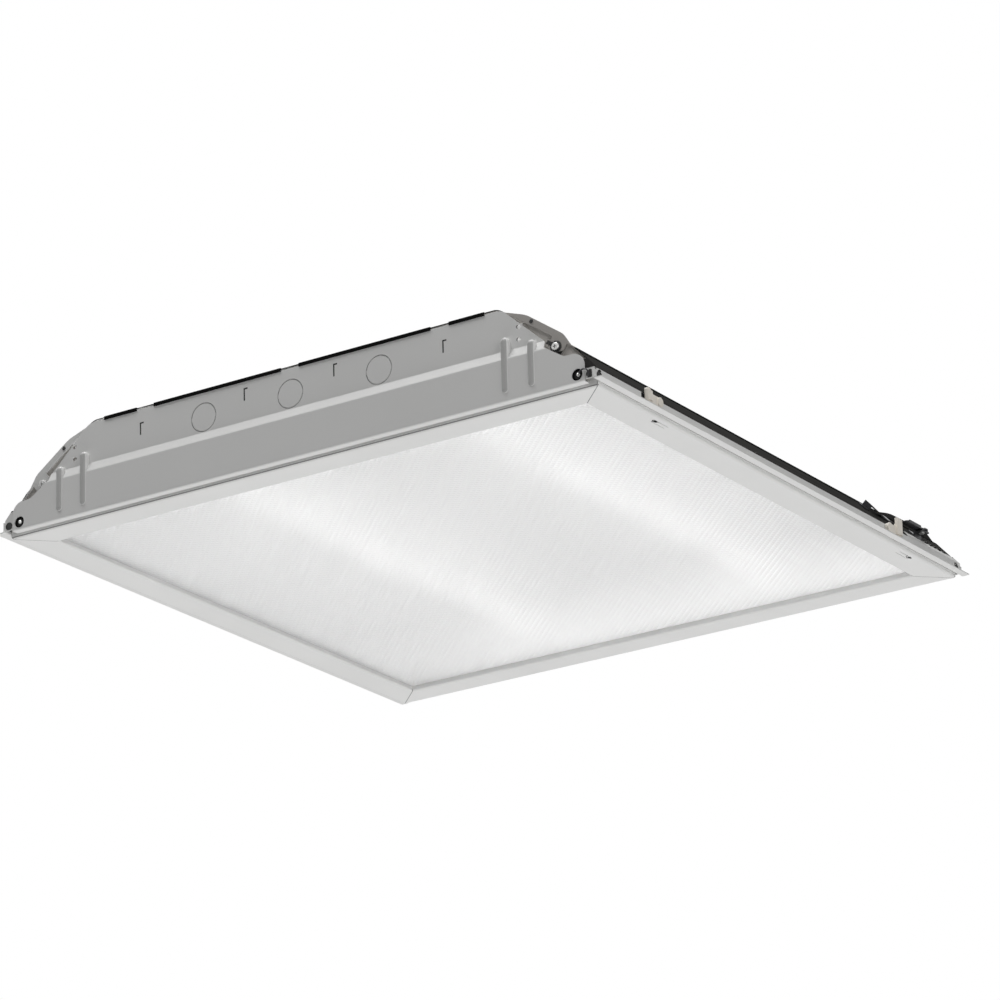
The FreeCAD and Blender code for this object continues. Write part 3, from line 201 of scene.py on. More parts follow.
class TrofferColours(bpy.types.PropertyGroup):
    """Base colours, linear."""
    enamel: colour("Enamel", "White paint of the door and the end plates", (0.80, 0.80, 0.79))
    inside: colour("Inside", "White paint inside the case", (0.86, 0.86, 0.855))
    # partly painted shade: a dark coating, made near-black for the shade on the case's sides and
    # top
    coating: colour("Coating", "Dark coating outside the case", (0.060, 0.059, 0.057))
    end_flange: colour("End flange", "Bare grey of the case's turned-out end", (0.50, 0.48, 0.455))
    shadow: colour("Shadow", "Black in gaps, on hooks and on the shoulder", (0.012, 0.012, 0.012))
    lens: colour("Lens", "Prismatic acrylic", (0.955, 0.955, 0.955))
    latch: colour("Latch", "Cream plastic of the latches", (0.90, 0.85, 0.77))
    zinc: colour("Zinc", "Plated screws, rivets and brackets", (0.55, 0.55, 0.54))
    black: colour("Black steel", "Clips and straps", (0.025, 0.025, 0.028))
    holder: colour("Lampholder", "White plastic", (0.80, 0.79, 0.75))
    lead: colour("Lead", "Jacket of the leads", (0.70, 0.70, 0.68))
    ballast: colour("Ballast", "Paint of the ballast", (0.52, 0.52, 0.50))


class TrofferLight(bpy.types.PropertyGroup):
    """Studio and lamp light."""
    all_round: amount("All round", "World light from every side", 0.06, 4.0)
    from_below: amount("From below", "Soft world light from straight below", 1.60, 8.0)
    key_power: amount("Key", "Power of the high soft light at the front left", 128.0, 1000.0)
    key_size: length("Key size", "Width of that light", 2.0)
    fill_power: amount("Fill", "Power of the soft light on the right", 66.0, 1000.0)
    fill_size: length("Fill size", "Width of that light", 3.6)
    lamp_glow: amount("Lamp glow", "Strength of the lamps", 1.8, 50.0)
    lens_clear: amount("Lens clear", "Share of light that passes through the lens", 0.75)
    # painted light: the lens glows by itself, evenly and more at its far end
    lens_glow: amount("Lens glow", "Light of the lamps that the lens spreads evenly", 0.048)
    end_glow: amount("End glow", "How much more of it the lens spreads at its far end", 0.075)
    camera_lens: bpy.props.FloatProperty(
        name="Camera lens", description="Focal length in millimetres", default=180.0, min=20.0)


# ---------------------------------------------------------------- node helpers

def new_material(name, base, roughness, metallic=0.0):
    """A material with its Principled shader, the shader's own sockets set."""
    material = bpy.data.materials.new(name)
    material.use_nodes = True
    shader = material.node_tree.nodes["Principled BSDF"]
    shader.inputs["Base Color"].default_value = (*base, 1.0)
    shader.inputs["Roughness"].default_value = roughness
    shader.inputs["Metallic"].default_value = metallic
    return material, shader


def add(material, kind, inputs=None, **settings):
    """A node in a material or world; inputs maps a socket's name or number to what feeds it."""
    node = material.node_tree.nodes.new(kind)
    for key, value in settings.items():
        setattr(node, key, value)
    for key, value in (inputs or {}).items():
        feed(material, node.inputs[key], value)
    return node


def feed(material, socket, value):
    if isinstance(value, bpy.types.NodeSocket):
        material.node_tree.links.new(value, socket)
    else:
        socket.default_value = value


def place_of(material):
    return add(material, "ShaderNodeTexCoord").outputs["Object"]


def axis_of(material, axis):
    return add(material, "ShaderNodeSeparateXYZ", {0: place_of(material)}).outputs[axis]


def normal_of(material, axis):
    normal = add(material, "ShaderNodeTexCoord").outputs["Normal"]
    return add(material, "ShaderNodeSeparateXYZ", {0: normal}).outputs[axis]


def stretched(material, scale):
    """Object coordinates, scaled along each axis."""
    mapping = add(material, "ShaderNodeMapping", {"Vector": place_of(material), "Scale": scale})
    return mapping.outputs["Vector"]


def noise(material, vector, scale, detail=2.0, rough=0.5):
    node = add(material, "ShaderNodeTexNoise",
               {"Vector": vector, "Scale": scale, "Detail": detail, "Roughness": rough})
    return node.outputs["Fac"]


def ranged(material, value, low, high, from_low=0.3, from_high=0.7):
    node = add(material, "ShaderNodeMapRange",
               {"Value": value, "From Min": from_low, "From Max": from_high,
                "To Min": low, "To Max": high})
    return node.outputs["Result"]


def maths(material, operation, first, second=0.0):
    node = add(material, "ShaderNodeMath", {0: first, 1: second}, operation=operation)
    return node.outputs["Value"]


def blended(material, factor, first, second):
    """Colour mix of two colours or sockets."""
    node = add(material, "ShaderNodeMix", data_type="RGBA")
    feed(material, node.inputs["Factor"], factor)
    for socket, value in ((node.inputs[6], first), (node.inputs[7], second)):
        feed(material, socket, value if isinstance(value, bpy.types.NodeSocket) else (*value, 1.0))
    return node.outputs[2]


def shaded(tone, share):
    """A colour darkened by a share, or lightened by a negative one."""
    return tuple(part * (1.0 - share) for part in tone)


def mottle(material, shader, base, share, scale, detail=3.0):
    """Slow, slight change of a base colour over the surface."""
    tone = ranged(material, noise(material, place_of(material), scale, detail), 0.0, 1.0)
    feed(material, shader.inputs["Base Color"], blended(material, tone, base, shaded(base, share)))


def vary_roughness(material, shader, low, high, scale):
    tone = noise(material, place_of(material), scale, 4.0)
    feed(material, shader.inputs["Roughness"], ranged(material, tone, low, high))


def raise_surface(material, shader, height, distance):
    bump = add(material, "ShaderNodeBump", {"Height": height, "Distance": distance})
    feed(material, shader.inputs["Normal"], bump.outputs["Normal"])


# ---------------------------------------------------------------- masks, 1 inside and 0 outside

def both(material, first, *others):
    """1 where every mask is 1."""
    for other in others:
        first = maths(material, "MULTIPLY", first, other)
    return first


def either(material, first, *others):
    """1 where any mask is 1."""
    for other in others:
        first = maths(material, "MAXIMUM", first, other)
    return first


def away(material, axis):
    """Distance from the middle along an axis."""
    return maths(material, "ABSOLUTE", axis_of(material, axis))


def beyond(material, axis, reach):
    """1 where the distance from the middle along an axis is more than reach."""
    return maths(material, "GREATER_THAN", away(material, axis), reach)


def band(material, axis, near, far):
    """1 between two distances from the middle along an axis."""
    return both(material, beyond(material, axis, near),
                maths(material, "LESS_THAN", away(material, axis), far))


def within(material, low, high, axis="Z"):
    """1 between two heights, or between two places along another axis."""
    place = axis_of(material, axis)
    return both(material, maths(material, "GREATER_THAN", place, low),
                maths(material, "LESS_THAN", place, high))


def oval(material, across, up):
    """1 where the two sockets, as measures of an oval's reaches, lie inside it."""
    square = maths(material, "ADD", maths(material, "MULTIPLY", across, across),
                   maths(material, "MULTIPLY", up, up))
    return maths(material, "LESS_THAN", square, 1.0)


def measured(material, place, middle, reach):
    """How far a place is from a middle, as a share of reach."""
    return maths(material, "DIVIDE", maths(material, "SUBTRACT", place, middle), reach)


def round_spot(material, spot, radius):
    """1 near the axis of a hole along Y, in all four corners."""
    return both(material, oval(material, measured(material, away(material, "X"), spot.x, radius),
                               measured(material, axis_of(material, "Z"), spot.z, radius)),
                beyond(material, "Y", spot.y))


def mouth(material, middle, reach):
    """1 in the mouth of an access tongue, on the door's face, where its shade is painted."""
    return oval(material, measured(material, axis_of(material, "Y"), middle, reach),
                measured(material, axis_of(material, "X"), TONGUE_X, TONGUE_WIDTH))


# ---------------------------------------------------------------- materials

def dark_lines(material):
    """The door's mitres and the end plates' knockout rings, and painted shade at the door's seam
    and rim and in the pilot holes.
    """
    # painted shade: the seam's gap on the near and far walls
    seam = both(material, band(material, "Y", DOOR_WALL, DOOR_EDGE), within(material, *SEAM))
    mitre = maths(material, "SUBTRACT", away(material, "X"), away(material, "Y"))
    mitre = maths(material, "LESS_THAN", maths(material, "ABSOLUTE", mitre), MITRE_HALF)
    mitre = both(material, mitre, within(material, BELOW, FACE_TOP),
                 band(material, "X", OPENING_HALF, DOOR_EDGE))
    # painted shade: the rounded rim on the left and far sides
    rim = either(material, within(material, -DOOR_EDGE, -RIM, "X"),
                 within(material, RIM, DOOR_EDGE, "Y"))
    rim = both(material, rim, within(material, BELOW, RIM_TOP))
    lines = [seam, mitre, rim]
    for x in (0.0, KNOCKOUT.x):
        spot = Vector((x, KNOCKOUT.y, KNOCKOUT.z))
        ring = maths(material, "SUBTRACT",
                     round_spot(material, spot, KNOCKOUT_RADIUS + KNOCKOUT_LINE),
                     round_spot(material, spot, KNOCKOUT_RADIUS - KNOCKOUT_LINE))
        lines.append(maths(material, "MULTIPLY", ring, 0.6))
    # painted shade in the pilot holes
    lines += [round_spot(material, spot, PILOT_RADIUS) for spot in PILOTS]
    return either(material, *lines)


def enamel(tones):
    """Sprayed white enamel with a faint orange peel, dark mitre and knockout lines, and painted
    shade: black in gaps, notches and holes, darker tops on the beads.
    """
    material, shader = new_material("white_enamel", tones.enamel, 0.42)
    slow = ranged(material, noise(material, place_of(material), 9.0, 3.0), 0.0, 1.0)
    white = blended(material, slow, tones.enamel, shaded(tones.enamel, 0.03))
    notches = [within(material, min(spot) - 0.009, max(spot) + 0.004, "Y") for spot in LATCH_SPOTS]
    # painted shade in the mouths of the access tongues
    mouths = [mouth(material, middle, reach) for middle, reach in TONGUE_SPOTS]
    # painted shade: black behind the latch notches and in the tongues' mouths
    black = both(material, band(material, "X", DOOR_WALL, DOOR_EDGE),
                 within(material, *BEHIND_LATCH), either(material, *notches))
    white = blended(material, either(material, black, *mouths), white, tones.shadow)
    # dark mitre and knockout lines, with the painted shade of seam, rim and pilot holes
    lines = maths(material, "MULTIPLY", dark_lines(material), 0.72)
    white = blended(material, lines, white, tones.shadow)
    # painted shade: the beads' tops darkened against the light that they catch
    beads = maths(material, "MULTIPLY", beyond(material, "Y", BEADS), 0.38)
    white = blended(material, beads, white, tones.shadow)
    inside = both(material, band(material, "Y", *PLATE_INSIDE), within(material, PLATE_FOOT, ABOVE))
    white = blended(material, inside, white, tones.inside)
    feed(material, shader.inputs["Base Color"], white)
    vary_roughness(material, shader, 0.36, 0.50, 30.0)
    raise_surface(material, shader, noise(material, place_of(material), 420.0, 1.0), 0.00003)
    shader.inputs["Specular IOR Level"].default_value = 0.35
    return material


def case_paint_and_shade(tones):
    """The formed sheet: white inside and on the lip, a dark coating outside that is partly painted
    shade, and black painted shade in the gaps, holes, on the hooks and along the shoulder.
    """
    material, shader = new_material("case_sheet", tones.coating, 0.6)
    # the coating's near-black is partly painted shade; the rolled streaks are the sheet's own
    rolled = noise(material, stretched(material, (30.0, 1.5, 30.0)), 6.0, 4.0)
    tone = blended(material, ranged(material, rolled, 0.0, 1.0), tones.coating,
                   shaded(tones.coating, 0.25))
    right = maths(material, "GREATER_THAN", axis_of(material, "X"), 0.0)
    near = maths(material, "LESS_THAN", axis_of(material, "Y"), 0.0)
    faces_down = maths(material, "LESS_THAN", normal_of(material, "Z"), -0.05)
    # painted shade: black along the bend above the lip
    shoulder = both(material, beyond(material, "X", SHOULDER.x),
                    within(material, SHOULDER.z, SHOULDER_TOP))
    tone = blended(material, shoulder, tone, tones.shadow)
    flange = both(material, beyond(material, "Y", END_FLANGE.y),
                  within(material, END_FLANGE.z, ABOVE), near)
    tone = blended(material, flange, tone, tones.enamel)
    tone = blended(material, both(material, flange, right), tone, tones.end_flange)
    corners = maths(material, "MULTIPLY", axis_of(material, "X"), axis_of(material, "Y"))
    corners = maths(material, "GREATER_THAN", corners, PALE_END * LIP_FACE)
    pale = both(material, corners, beyond(material, "Y", PALE_END), within(material, *PALE_LIP))
    tone = blended(material, pale, tone, tones.enamel)
    tone = blended(material, faces_down, tone, tones.inside)
    # painted shade: a darkened grey on the inner faces at the near right end
    bay_end_shade = both(material, faces_down, right, near, beyond(material, "Y", BAY_END),
                   within(material, DARK_CORNER[0], ABOVE))
    tone = blended(material, bay_end_shade, tone, shaded(tones.end_flange, 0.15))
    tone = blended(material, within(material, BELOW, LIP_TOP), tone, tones.enamel)
    # painted shade: black inside the right side, beyond the lens
    hidden_shade = both(material, faces_down, right, beyond(material, "X", REFLECTOR_HALF),
                  within(material, *DARK_CORNER))
    tone = blended(material, hidden_shade, tone, tones.shadow)
    # painted shade: black on the inner faces of the lips
    inward = maths(material, "MULTIPLY", axis_of(material, "X"), normal_of(material, "X"))
    lip_back_shade = both(material, maths(material, "LESS_THAN", inward, -0.15),
                    beyond(material, "X", LIP_INSIDE), within(material, *LIP_BACK),
                    within(material, -LIP_BACK_HALF, LIP_BACK_HALF, "Y"))
    tone = blended(material, lip_back_shade, tone, tones.shadow)
    # painted shade: black in and round the hanger holes
    tone = blended(material, round_spot(material, HANGER_HOLE, HANGER_RADIUS), tone, tones.shadow)
    # painted shade: black on the hooks over the end plates
    hooks = both(material, beyond(material, "Y", HOOKS.y), within(material, HOOKS.z, ABOVE))
    tone = blended(material, hooks, tone, tones.shadow)
    feed(material, shader.inputs["Base Color"], tone)
    vary_roughness(material, shader, 0.5, 0.7, 25.0)
    raise_surface(material, shader, noise(material, place_of(material), 380.0, 1.0), 0.00003)
    shader.inputs["Specular IOR Level"].default_value = 0.0
    return material


def lens_acrylic(tones, light):
    """Clear acrylic with a light frost, which spreads what lies behind it, and a painted glow of
    its own.
    """
    material, shader = new_material("prismatic_acrylic", tones.lens, 0.42)
    shader.inputs["IOR"].default_value = 1.3
    shader.inputs["Transmission Weight"].default_value = light.lens_clear
    mottle(material, shader, tones.lens, 0.02, 14.0)
    # painted light: the lens glows by itself, evenly and more towards its far end, less so at the
    # left
    shader.inputs["Emission Color"].default_value = (1.0, 1.0, 1.0, 1.0)
    far = ranged(material, axis_of(material, "Y"), 0.0, light.end_glow, 0.12, 0.255)
    right = ranged(material, axis_of(material, "X"), 0.3, 1.0, -0.26, -0.07)
    glow = maths(material, "ADD", maths(material, "MULTIPLY", far, right), light.lens_glow)
    feed(material, shader.inputs["Emission Strength"], glow)
    raise_surface(material, shader, noise(material, place_of(material), 900.0, 1.0), 0.00002)
    return material


def moulded_plastic(name, tone, low=0.38, high=0.52):
    material, shader = new_material(name, tone, low)
    mottle(material, shader, tone, 0.07, 60.0)
    vary_roughness(material, shader, low, high, 140.0)
    raise_surface(material, shader, noise(material, place_of(material), 1500.0, 2.0), 0.00002)
    return material


def zinc_plate(tones, name="zinc_plate", painted=False):
    """Plated steel: small flat spangles that differ a little in tone. Painted over on the left."""
    material, shader = new_material(name, tones.zinc, 0.35, 1.0)
    cells = add(material, "ShaderNodeTexVoronoi", {"Vector": place_of(material), "Scale": 320.0})
    tone = ranged(material, cells.outputs["Distance"], 0.0, 1.0, 0.0, 1.0)
    tone = blended(material, tone, tones.zinc, shaded(tones.zinc, 0.2))
    if painted:
        left = maths(material, "LESS_THAN", axis_of(material, "X"), 0.0)
        tone = blended(material, left, tone, tones.enamel)
        feed(material, shader.inputs["Metallic"], maths(material, "SUBTRACT", 1.0, left))
    feed(material, shader.inputs["Base Color"], tone)
    vary_roughness(material, shader, 0.28, 0.45, 200.0)
    return material


def black_steel(tones):
    """Blackened spring steel with brighter rubbed patches."""
    material, shader = new_material("black_spring_steel", tones.black, 0.35, 0.6)
    rubbed = ranged(material, noise(material, place_of(material), 130.0, 5.0), 0.0, 1.0, 0.6, 0.8)
    tone = blended(material, rubbed, tones.black, shaded(tones.black, -3.0))
    feed(material, shader.inputs["Base Color"], tone)
    vary_roughness(material, shader, 0.25, 0.45, 180.0)
    return material


def coated_lamp(light):
    """Glass with its white coating, lit."""
    white = (0.92, 0.92, 0.90)
    material, shader = new_material("lit_lamp_glass", white, 0.15)
    mottle(material, shader, white, 0.03, 20.0)
    shader.inputs["Emission Color"].default_value = (1.0, 0.995, 0.99, 1.0)
    shader.inputs["Emission Strength"].default_value = light.lamp_glow
    return material


def lamp_metal():
    """Aluminium base with fine turned lines round it."""
    base = (0.72, 0.72, 0.74)
    material, shader = new_material("lamp_base_metal", base, 0.3, 1.0)
    lines = noise(material, stretched(material, (20.0, 900.0, 20.0)), 3.0, 2.0)
    feed(material, shader.inputs["Base Color"],
         blended(material, ranged(material, lines, 0.0, 1.0), base, shaded(base, 0.18)))
    vary_roughness(material, shader, 0.22, 0.4, 90.0)
    return material


# ---------------------------------------------------------------- modelling helpers

def deselect():
    if bpy.context.object and bpy.context.object.mode != "OBJECT":
        bpy.ops.object.mode_set(mode="OBJECT")
    bpy.ops.object.select_all(action="DESELECT")


def choose(*pieces):
    """Selects only these pieces, the first of them active."""
    deselect()
    for piece in pieces:
        piece.select_set(True)
    bpy.context.view_layer.objects.active = pieces[0]


def open_mesh(piece):
    """Goes into a piece's edit mode with all of it selected."""
    choose(piece)
    bpy.ops.object.mode_set(mode="EDIT")
    bpy.ops.mesh.select_all(action="SELECT")


def close_mesh():
    bpy.ops.object.mode_set(mode="OBJECT")


def pick_faces(piece, test):
    """In edit mode, selects the faces that pass the test."""
    choose(piece)
    bpy.ops.object.mode_set(mode="EDIT")
    bpy.ops.mesh.select_mode(type="FACE")
    bpy.ops.mesh.select_all(action="DESELECT")
    bpy.ops.object.mode_set(mode="OBJECT")
    for face in piece.data.polygons:
        face.select = test(face)
    bpy.ops.object.mode_set(mode="EDIT")


def looks(axis, way=1):
    """A test for the faces that look one way along an axis."""
    number = "XYZ".index(axis)
    return lambda face: face.normal[number] * way > 0.9


def bevel_faces(piece, test, offset, segments):
    pick_faces(piece, test)
    bpy.ops.mesh.bevel(offset=offset, segments=segments)
    close_mesh()


def inset_faces(piece, test, thickness, depth):
    pick_faces(piece, test)
    bpy.ops.mesh.inset(thickness=thickness, depth=depth)
    close_mesh()


def settle(piece):
    """Puts a piece's place, turn and size into its mesh."""
    choose(piece)
    bpy.ops.object.transform_apply(location=True, rotation=True, scale=True)


def slab(place, size, turn=(0, 0, 0)):
    """A plain block, to be shaped."""
    deselect()
    bpy.ops.mesh.primitive_cube_add(size=1, location=place, rotation=turn, scale=size)
    block = bpy.context.object
    settle(block)
    return block


def disc(place, radius, depth, turn, vertices=32):
    """A plain short cylinder, to be shaped."""
    deselect()
    bpy.ops.mesh.primitive_cylinder_add(
        vertices=vertices, radius=radius, depth=depth, rotation=turn, location=place)
    piece = bpy.context.object
    settle(piece)
    return piece


def copied(piece, name, matrix):
    """A copy with its own mesh, moved by a matrix."""
    twin = piece.copy()
    twin.data = piece.data.copy()
    twin.name = name
    bpy.context.collection.objects.link(twin)
    twin.data.transform(matrix)
    if matrix.determinant() < 0:
        twin.data.flip_normals()
    return twin


def joined(name, pieces):
    choose(*pieces)
    bpy.ops.object.join()
    whole = bpy.context.object
    whole.name = name
    whole.data.name = name
    return whole


def four_ways(piece, name, left=True):
    """A piece of the right near corner, copied into the right or all four corners and joined."""
    flip_x = Matrix.Scale(-1, 4, Vector((1, 0, 0)))
    flip_y = Matrix.Scale(-1, 4, Vector((0, 1, 0)))
    places = [Matrix.Identity(4), flip_y]
    if left:
        places += [flip_x, flip_x @ flip_y]
    copies = [copied(piece, name, place) for place in places]
    bpy.data.objects.remove(piece, do_unlink=True)
    return joined(name, copies)


def cut_out(piece, cutter):
    """Cuts one piece out of another and removes the cutter."""
    choose(piece)
    cut = piece.modifiers.new("cut", "BOOLEAN")
    cut.operation = "DIFFERENCE"
    cut.solver = "EXACT"
    cut.object = cutter
    bpy.ops.object.modifier_apply(modifier=cut.name)
    bpy.data.objects.remove(cutter, do_unlink=True)


def smooth(piece, degrees):
    choose(piece)
    bpy.ops.object.shade_smooth_by_angle(angle=math.radians(degrees))


def dress(piece, material, body, slot, *nodes):
    """Gives a finished piece its material and body, and hides the imported nodes that it stands
    for. The slot is not used.
    """
    piece.data.materials.clear()
    piece.data.materials.append(material)
    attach(piece, body)
    if nodes:
        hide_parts(*nodes)


def dress_black(piece, body="housing"):
    """Dresses a small piece in the black of painted shade."""
    dress(piece, bpy.data.materials["shade_black"], body, "black_steel")


def paint(material, *nodes):
    """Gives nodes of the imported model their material."""
    for node in nodes:
        piece = bpy.data.objects[node]
        if not piece.material_slots:
            piece.data.materials.append(material)
        for place in piece.material_slots:
            place.material = material


# ---------------------------------------------------------------- operators

class TROFFER_OT_case(bpy.types.Operator):
    """Paints the formed case, the end plates, the door's rails and what is fixed to them"""
    bl_idname = "troffer.case"
    bl_label = "Paint the case"

    def execute(self, context):
        tones = context.scene.troffer_colours
        paint(enamel(tones), "end_plate_near", "end_plate_far", "socket_bar_near",
              "socket_bar_far", "ballast_cover", "door_rail_right", "door_rail_far",
              "door_rail_left", "door_rail_near")
        paint(case_paint_and_shade(tones), "top_pan")
        paint(zinc_plate(tones), "corner_gussets", "hinge_bracket_near", "hinge_bracket_far",
              "hinge_pins", "hinge_ears_near", "hinge_ears_far", "latch_rivets", "clip_rivets",
              "corner_keys", "key_rivets", "lens_clips")
        paint(black_steel(tones), "clip_post_right", "clip_post_left", "clip_arm_right",
              "clip_arm_left", "standoff_strap_right", "standoff_strap_left")
        paint(moulded_plastic("cream_latch_plastic", tones.latch), "latch_near", "latch_far")
        moulded_plastic("shade_black", tones.shadow, 0.7, 0.85)       # black of painted shade, for the small pieces
        return {"FINISHED"}


class TROFFER_OT_lens(bpy.types.Operator):
    """Models the prismatic lens: a sheet whose underside is covered with small hollow prisms"""
    bl_idname = "troffer.lens"
    bl_label = "Prismatic lens"

    def execute(self, context):
        sizes = context.scene.troffer_sizes
        low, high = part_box("lens")
        half = high.x
        count = math.ceil(2 * half * math.sqrt(2) / sizes.prism_pitch)
        deselect()
        bpy.ops.mesh.primitive_grid_add(
            x_subdivisions=count, y_subdivisions=count, size=count * sizes.prism_pitch,
            location=(0, 0, low.z), rotation=(0, 0, math.radians(45)))
        lens = bpy.context.object
        lens.name = "prismatic_lens"
        settle(lens)
        bpy.ops.object.mode_set(mode="EDIT")
        for x, y in ((1, 0), (-1, 0), (0, 1), (0, -1)):
            bpy.ops.mesh.select_all(action="SELECT")
            bpy.ops.mesh.bisect(plane_co=(x * half, y * half, low.z), plane_no=(x, y, 0),
                                clear_outer=True)
        bpy.ops.mesh.select_all(action="SELECT")
        bpy.ops.mesh.remove_doubles(threshold=0.00005)
        bpy.ops.mesh.select_mode(type="EDGE")
        bpy.ops.mesh.select_all(action="DESELECT")
        bpy.ops.mesh.select_non_manifold()
        bpy.ops.mesh.extrude_region_move(
            TRANSFORM_OT_translate={"value": (0, 0, high.z - low.z)})
        bpy.ops.mesh.edge_face_add()
        bpy.ops.mesh.select_all(action="SELECT")
        bpy.ops.mesh.normals_make_consistent(inside=False)
        pick_faces(lens, looks("Z", -1))
        bpy.ops.mesh.poke(offset=-sizes.prism_depth)
        close_mesh()
        material = lens_acrylic(context.scene.troffer_colours, context.scene.troffer_light)
        dress(lens, material, "door", "lens_acrylic", "lens")
        return {"FINISHED"}


def screw_with_recess(sizes):
    """A pan-head screw's head with a cross recess, its seat at the origin, standing up."""
    top = sizes.screw_height
    head = disc((0, 0, top / 2), sizes.screw_head, top, UPRIGHT, 40)
    bevel_faces(head, looks("Z"), top * 0.45, 5)
    for turn in (0.0, math.radians(90)):
        arm = slab((0, 0, top), (2 * sizes.recess_reach, sizes.recess_width,
                                 2 * sizes.recess_depth), (0, 0, turn))
        pick_faces(arm, looks("Z", -1))
        bpy.ops.transform.resize(value=(0.55, 0.55, 1.0))
        close_mesh()
        cut_out(head, arm)
    return head


class TROFFER_OT_screws(bpy.types.Operator):
    """Models the screws of the corners and of the ballast cover, with their cross recesses"""
    bl_idname = "troffer.screws"
    bl_label = "Screws"

    def execute(self, context):
        head = screw_with_recess(context.scene.troffer_sizes)
        corner = Matrix.Translation(CORNER_SCREW_SEAT) @ Matrix.Rotation(math.radians(90), 4, "X")
        corners = four_ways(copied(head, "corner_screw", corner), "corner_screw_heads")
        smooth(corners, 35)
        over = zinc_plate(context.scene.troffer_colours, "part_painted_zinc", True)
        dress(corners, over, "housing", "zinc_steel", "corner_screws")
        heads = []
        for x in (-1, 1):
            for y in (-1, 1):
                seat = Matrix.Translation(COVER_SCREW_SEAT * Vector((x, y, 1)))
                heads.append(copied(head, "cover_screw", seat @ Matrix.Rotation(math.pi, 4, "X")))
        covers = joined("cover_screw_heads", heads)
        smooth(covers, 35)
        dress(covers, bpy.data.materials["zinc_plate"], "housing", "zinc_steel", "cover_screws")
        bpy.data.objects.remove(head, do_unlink=True)
        return {"FINISHED"}


def slope_strip(low, high, depth, sheet):
    """A strip across the end of a sloping side, between two points of its section."""
    run = (high - low).normalized()
    inward = Vector((-run.z, 0, run.x))
    middle = (low + high) / 2 + inward * depth * WEB_SHIFT
    lean = math.atan2(run.z, -run.x)
    strip = slab((middle.x, WEB_PLACE, middle.z), ((high - low).length, sheet, depth),
                 (0, lean, 0))
    inset_faces(strip, looks("Y", -1), depth * 0.22, -sheet * 0.3)
    return strip


class TROFFER_OT_webs(bpy.types.Operator):
    """Models the strips that close the case's corners"""
    bl_idname = "troffer.webs"
    bl_label = "Corner strips"

    def execute(self, context):
        sizes = context.scene.troffer_sizes
        strips = [slope_strip(low, high, sizes.web_depth, sizes.web_sheet)
                  for low, high in ((SLOPE_TURN, CREST), (LIP_FOOT, SLOPE_TURN))]
        webs = four_ways(joined("web", strips), "corner_webs")
        # painted light: the end flange's grey, made 35% lighter against the shade under the plates'
        # edges
        tone = shaded(context.scene.troffer_colours.end_flange, -0.35)
        dress(webs, moulded_plastic("grey_primer_painted_light", tone, 0.5, 0.65), "housing", "pan_steel")
        return {"FINISHED"}


class TROFFER_OT_seals(bpy.types.Operator):
    """Models black strips inside the lips, as painted shade seen through their holes and notches,
    and the white one at the door's right edge
    """
    bl_idname = "troffer.seals"
    bl_label = "Seals"

    def execute(self, context):
        sizes = context.scene.troffer_sizes
        # painted shade: black strips inside the lips
        seal = slab((SEAL_FACE - sizes.seal_width / 2, 0, SEAL_FOOT + sizes.seal_height / 2),
                    (sizes.seal_width, SEAL_LENGTH, sizes.seal_height))
        bevel_faces(seal, looks("X", -1), sizes.seal_width * 0.3, 3)
        twin = copied(seal, "seal", Matrix.Rotation(math.pi, 4, "Z"))
        dress_black(joined("lip_shade_strips", [seal, twin]))

        gasket = slab(GASKET, (sizes.gasket_width, GASKET_LENGTH, sizes.gasket_height))
        bevel_faces(gasket, looks("Z", -1), 0.0001, 2)
        gasket.name = "door_gasket"
        dress(gasket, bpy.data.materials["white_enamel"], "door", "white_paint")
        return {"FINISHED"}


class TROFFER_OT_plugs(bpy.types.Operator):
    """Models black discs in the corners' holes and black backs under the access tongues, as painted
    shade
    """
    bl_idname = "troffer.plugs"
    bl_label = "Plugs"

    def execute(self, context):
        # painted shade: black discs that darken the corners' holes
        # name, place, turn, face's test, radius, depth, width of the rim, how far it is sunk
        for name, place, turn, face, radius, depth, rim, sunk in (
                ("hole_shade_discs", (HANGER_HOLE.x, -0.2979, HANGER_HOLE.z), ALONG_Y, looks("Y", -1),
                 0.0048, 0.0006, 0.0016, 0.0003),
                ("lip_hole_shade_discs", (LIP_FACE + 0.0001, -0.2921, 0.0082), ALONG_X, looks("X"),
                 0.0038, 0.0004, 0.0009, 0.0002),
                ("tab_hole_shade_discs", (0.2899, -0.2993, 0.0092), ALONG_Y, looks("Y", -1),
                 0.0034, 0.0003, 0.0008, 0.0001)):
            plug = disc(place, radius, depth, turn)
            inset_faces(plug, face, rim, -sunk)
            dress_black(four_ways(plug, name))
        # painted shade: black backs under the access tongues
        backs = []
        for place in TONGUE_BACKS:
            back = slab(place, TONGUE_BACK_SIZE)
            inset_faces(back, looks("Z", -1), 0.0008, -0.0001)
            backs.append(back)
        dress_black(joined("tongue_shade_backs", backs), "door")
        return {"FINISHED"}


class TROFFER_OT_washers(bpy.types.Operator):
    """Models black tab washers under the right corner screws, as painted shade round them, and the
    end flanges' rivets
    """
    bl_idname = "troffer.washers"
    bl_label = "Washers and rivets"

    def execute(self, context):
        sizes = context.scene.troffer_sizes
        # painted shade: a black ring and tab round each right corner screw
        washer = disc(CORNER_SCREW_SEAT, sizes.washer_radius, 0.0005, ALONG_Y, 40)
        inset_faces(washer, looks("Y", -1), 0.0012, 0.0002)
        tab = slab(CORNER_SCREW_SEAT + WASHER_TAB, WASHER_TAB_SIZE, (0, WASHER_TAB_LEAN, 0))
        inset_faces(tab, looks("Y", -1), 0.0006, 0.0001)
        dress_black(four_ways(joined("washer", [washer, tab]), "screw_shade_washers", left=False))

        rivet = disc(FLANGE_RIVET, sizes.rivet_radius, 0.0014, ALONG_Y, 24)
        bevel_faces(rivet, looks("Y", -1), 0.0005, 3)
        rivets = four_ways(rivet, "flange_rivets")
        smooth(rivets, 35)
        dress_black(rivets)
        return {"FINISHED"}


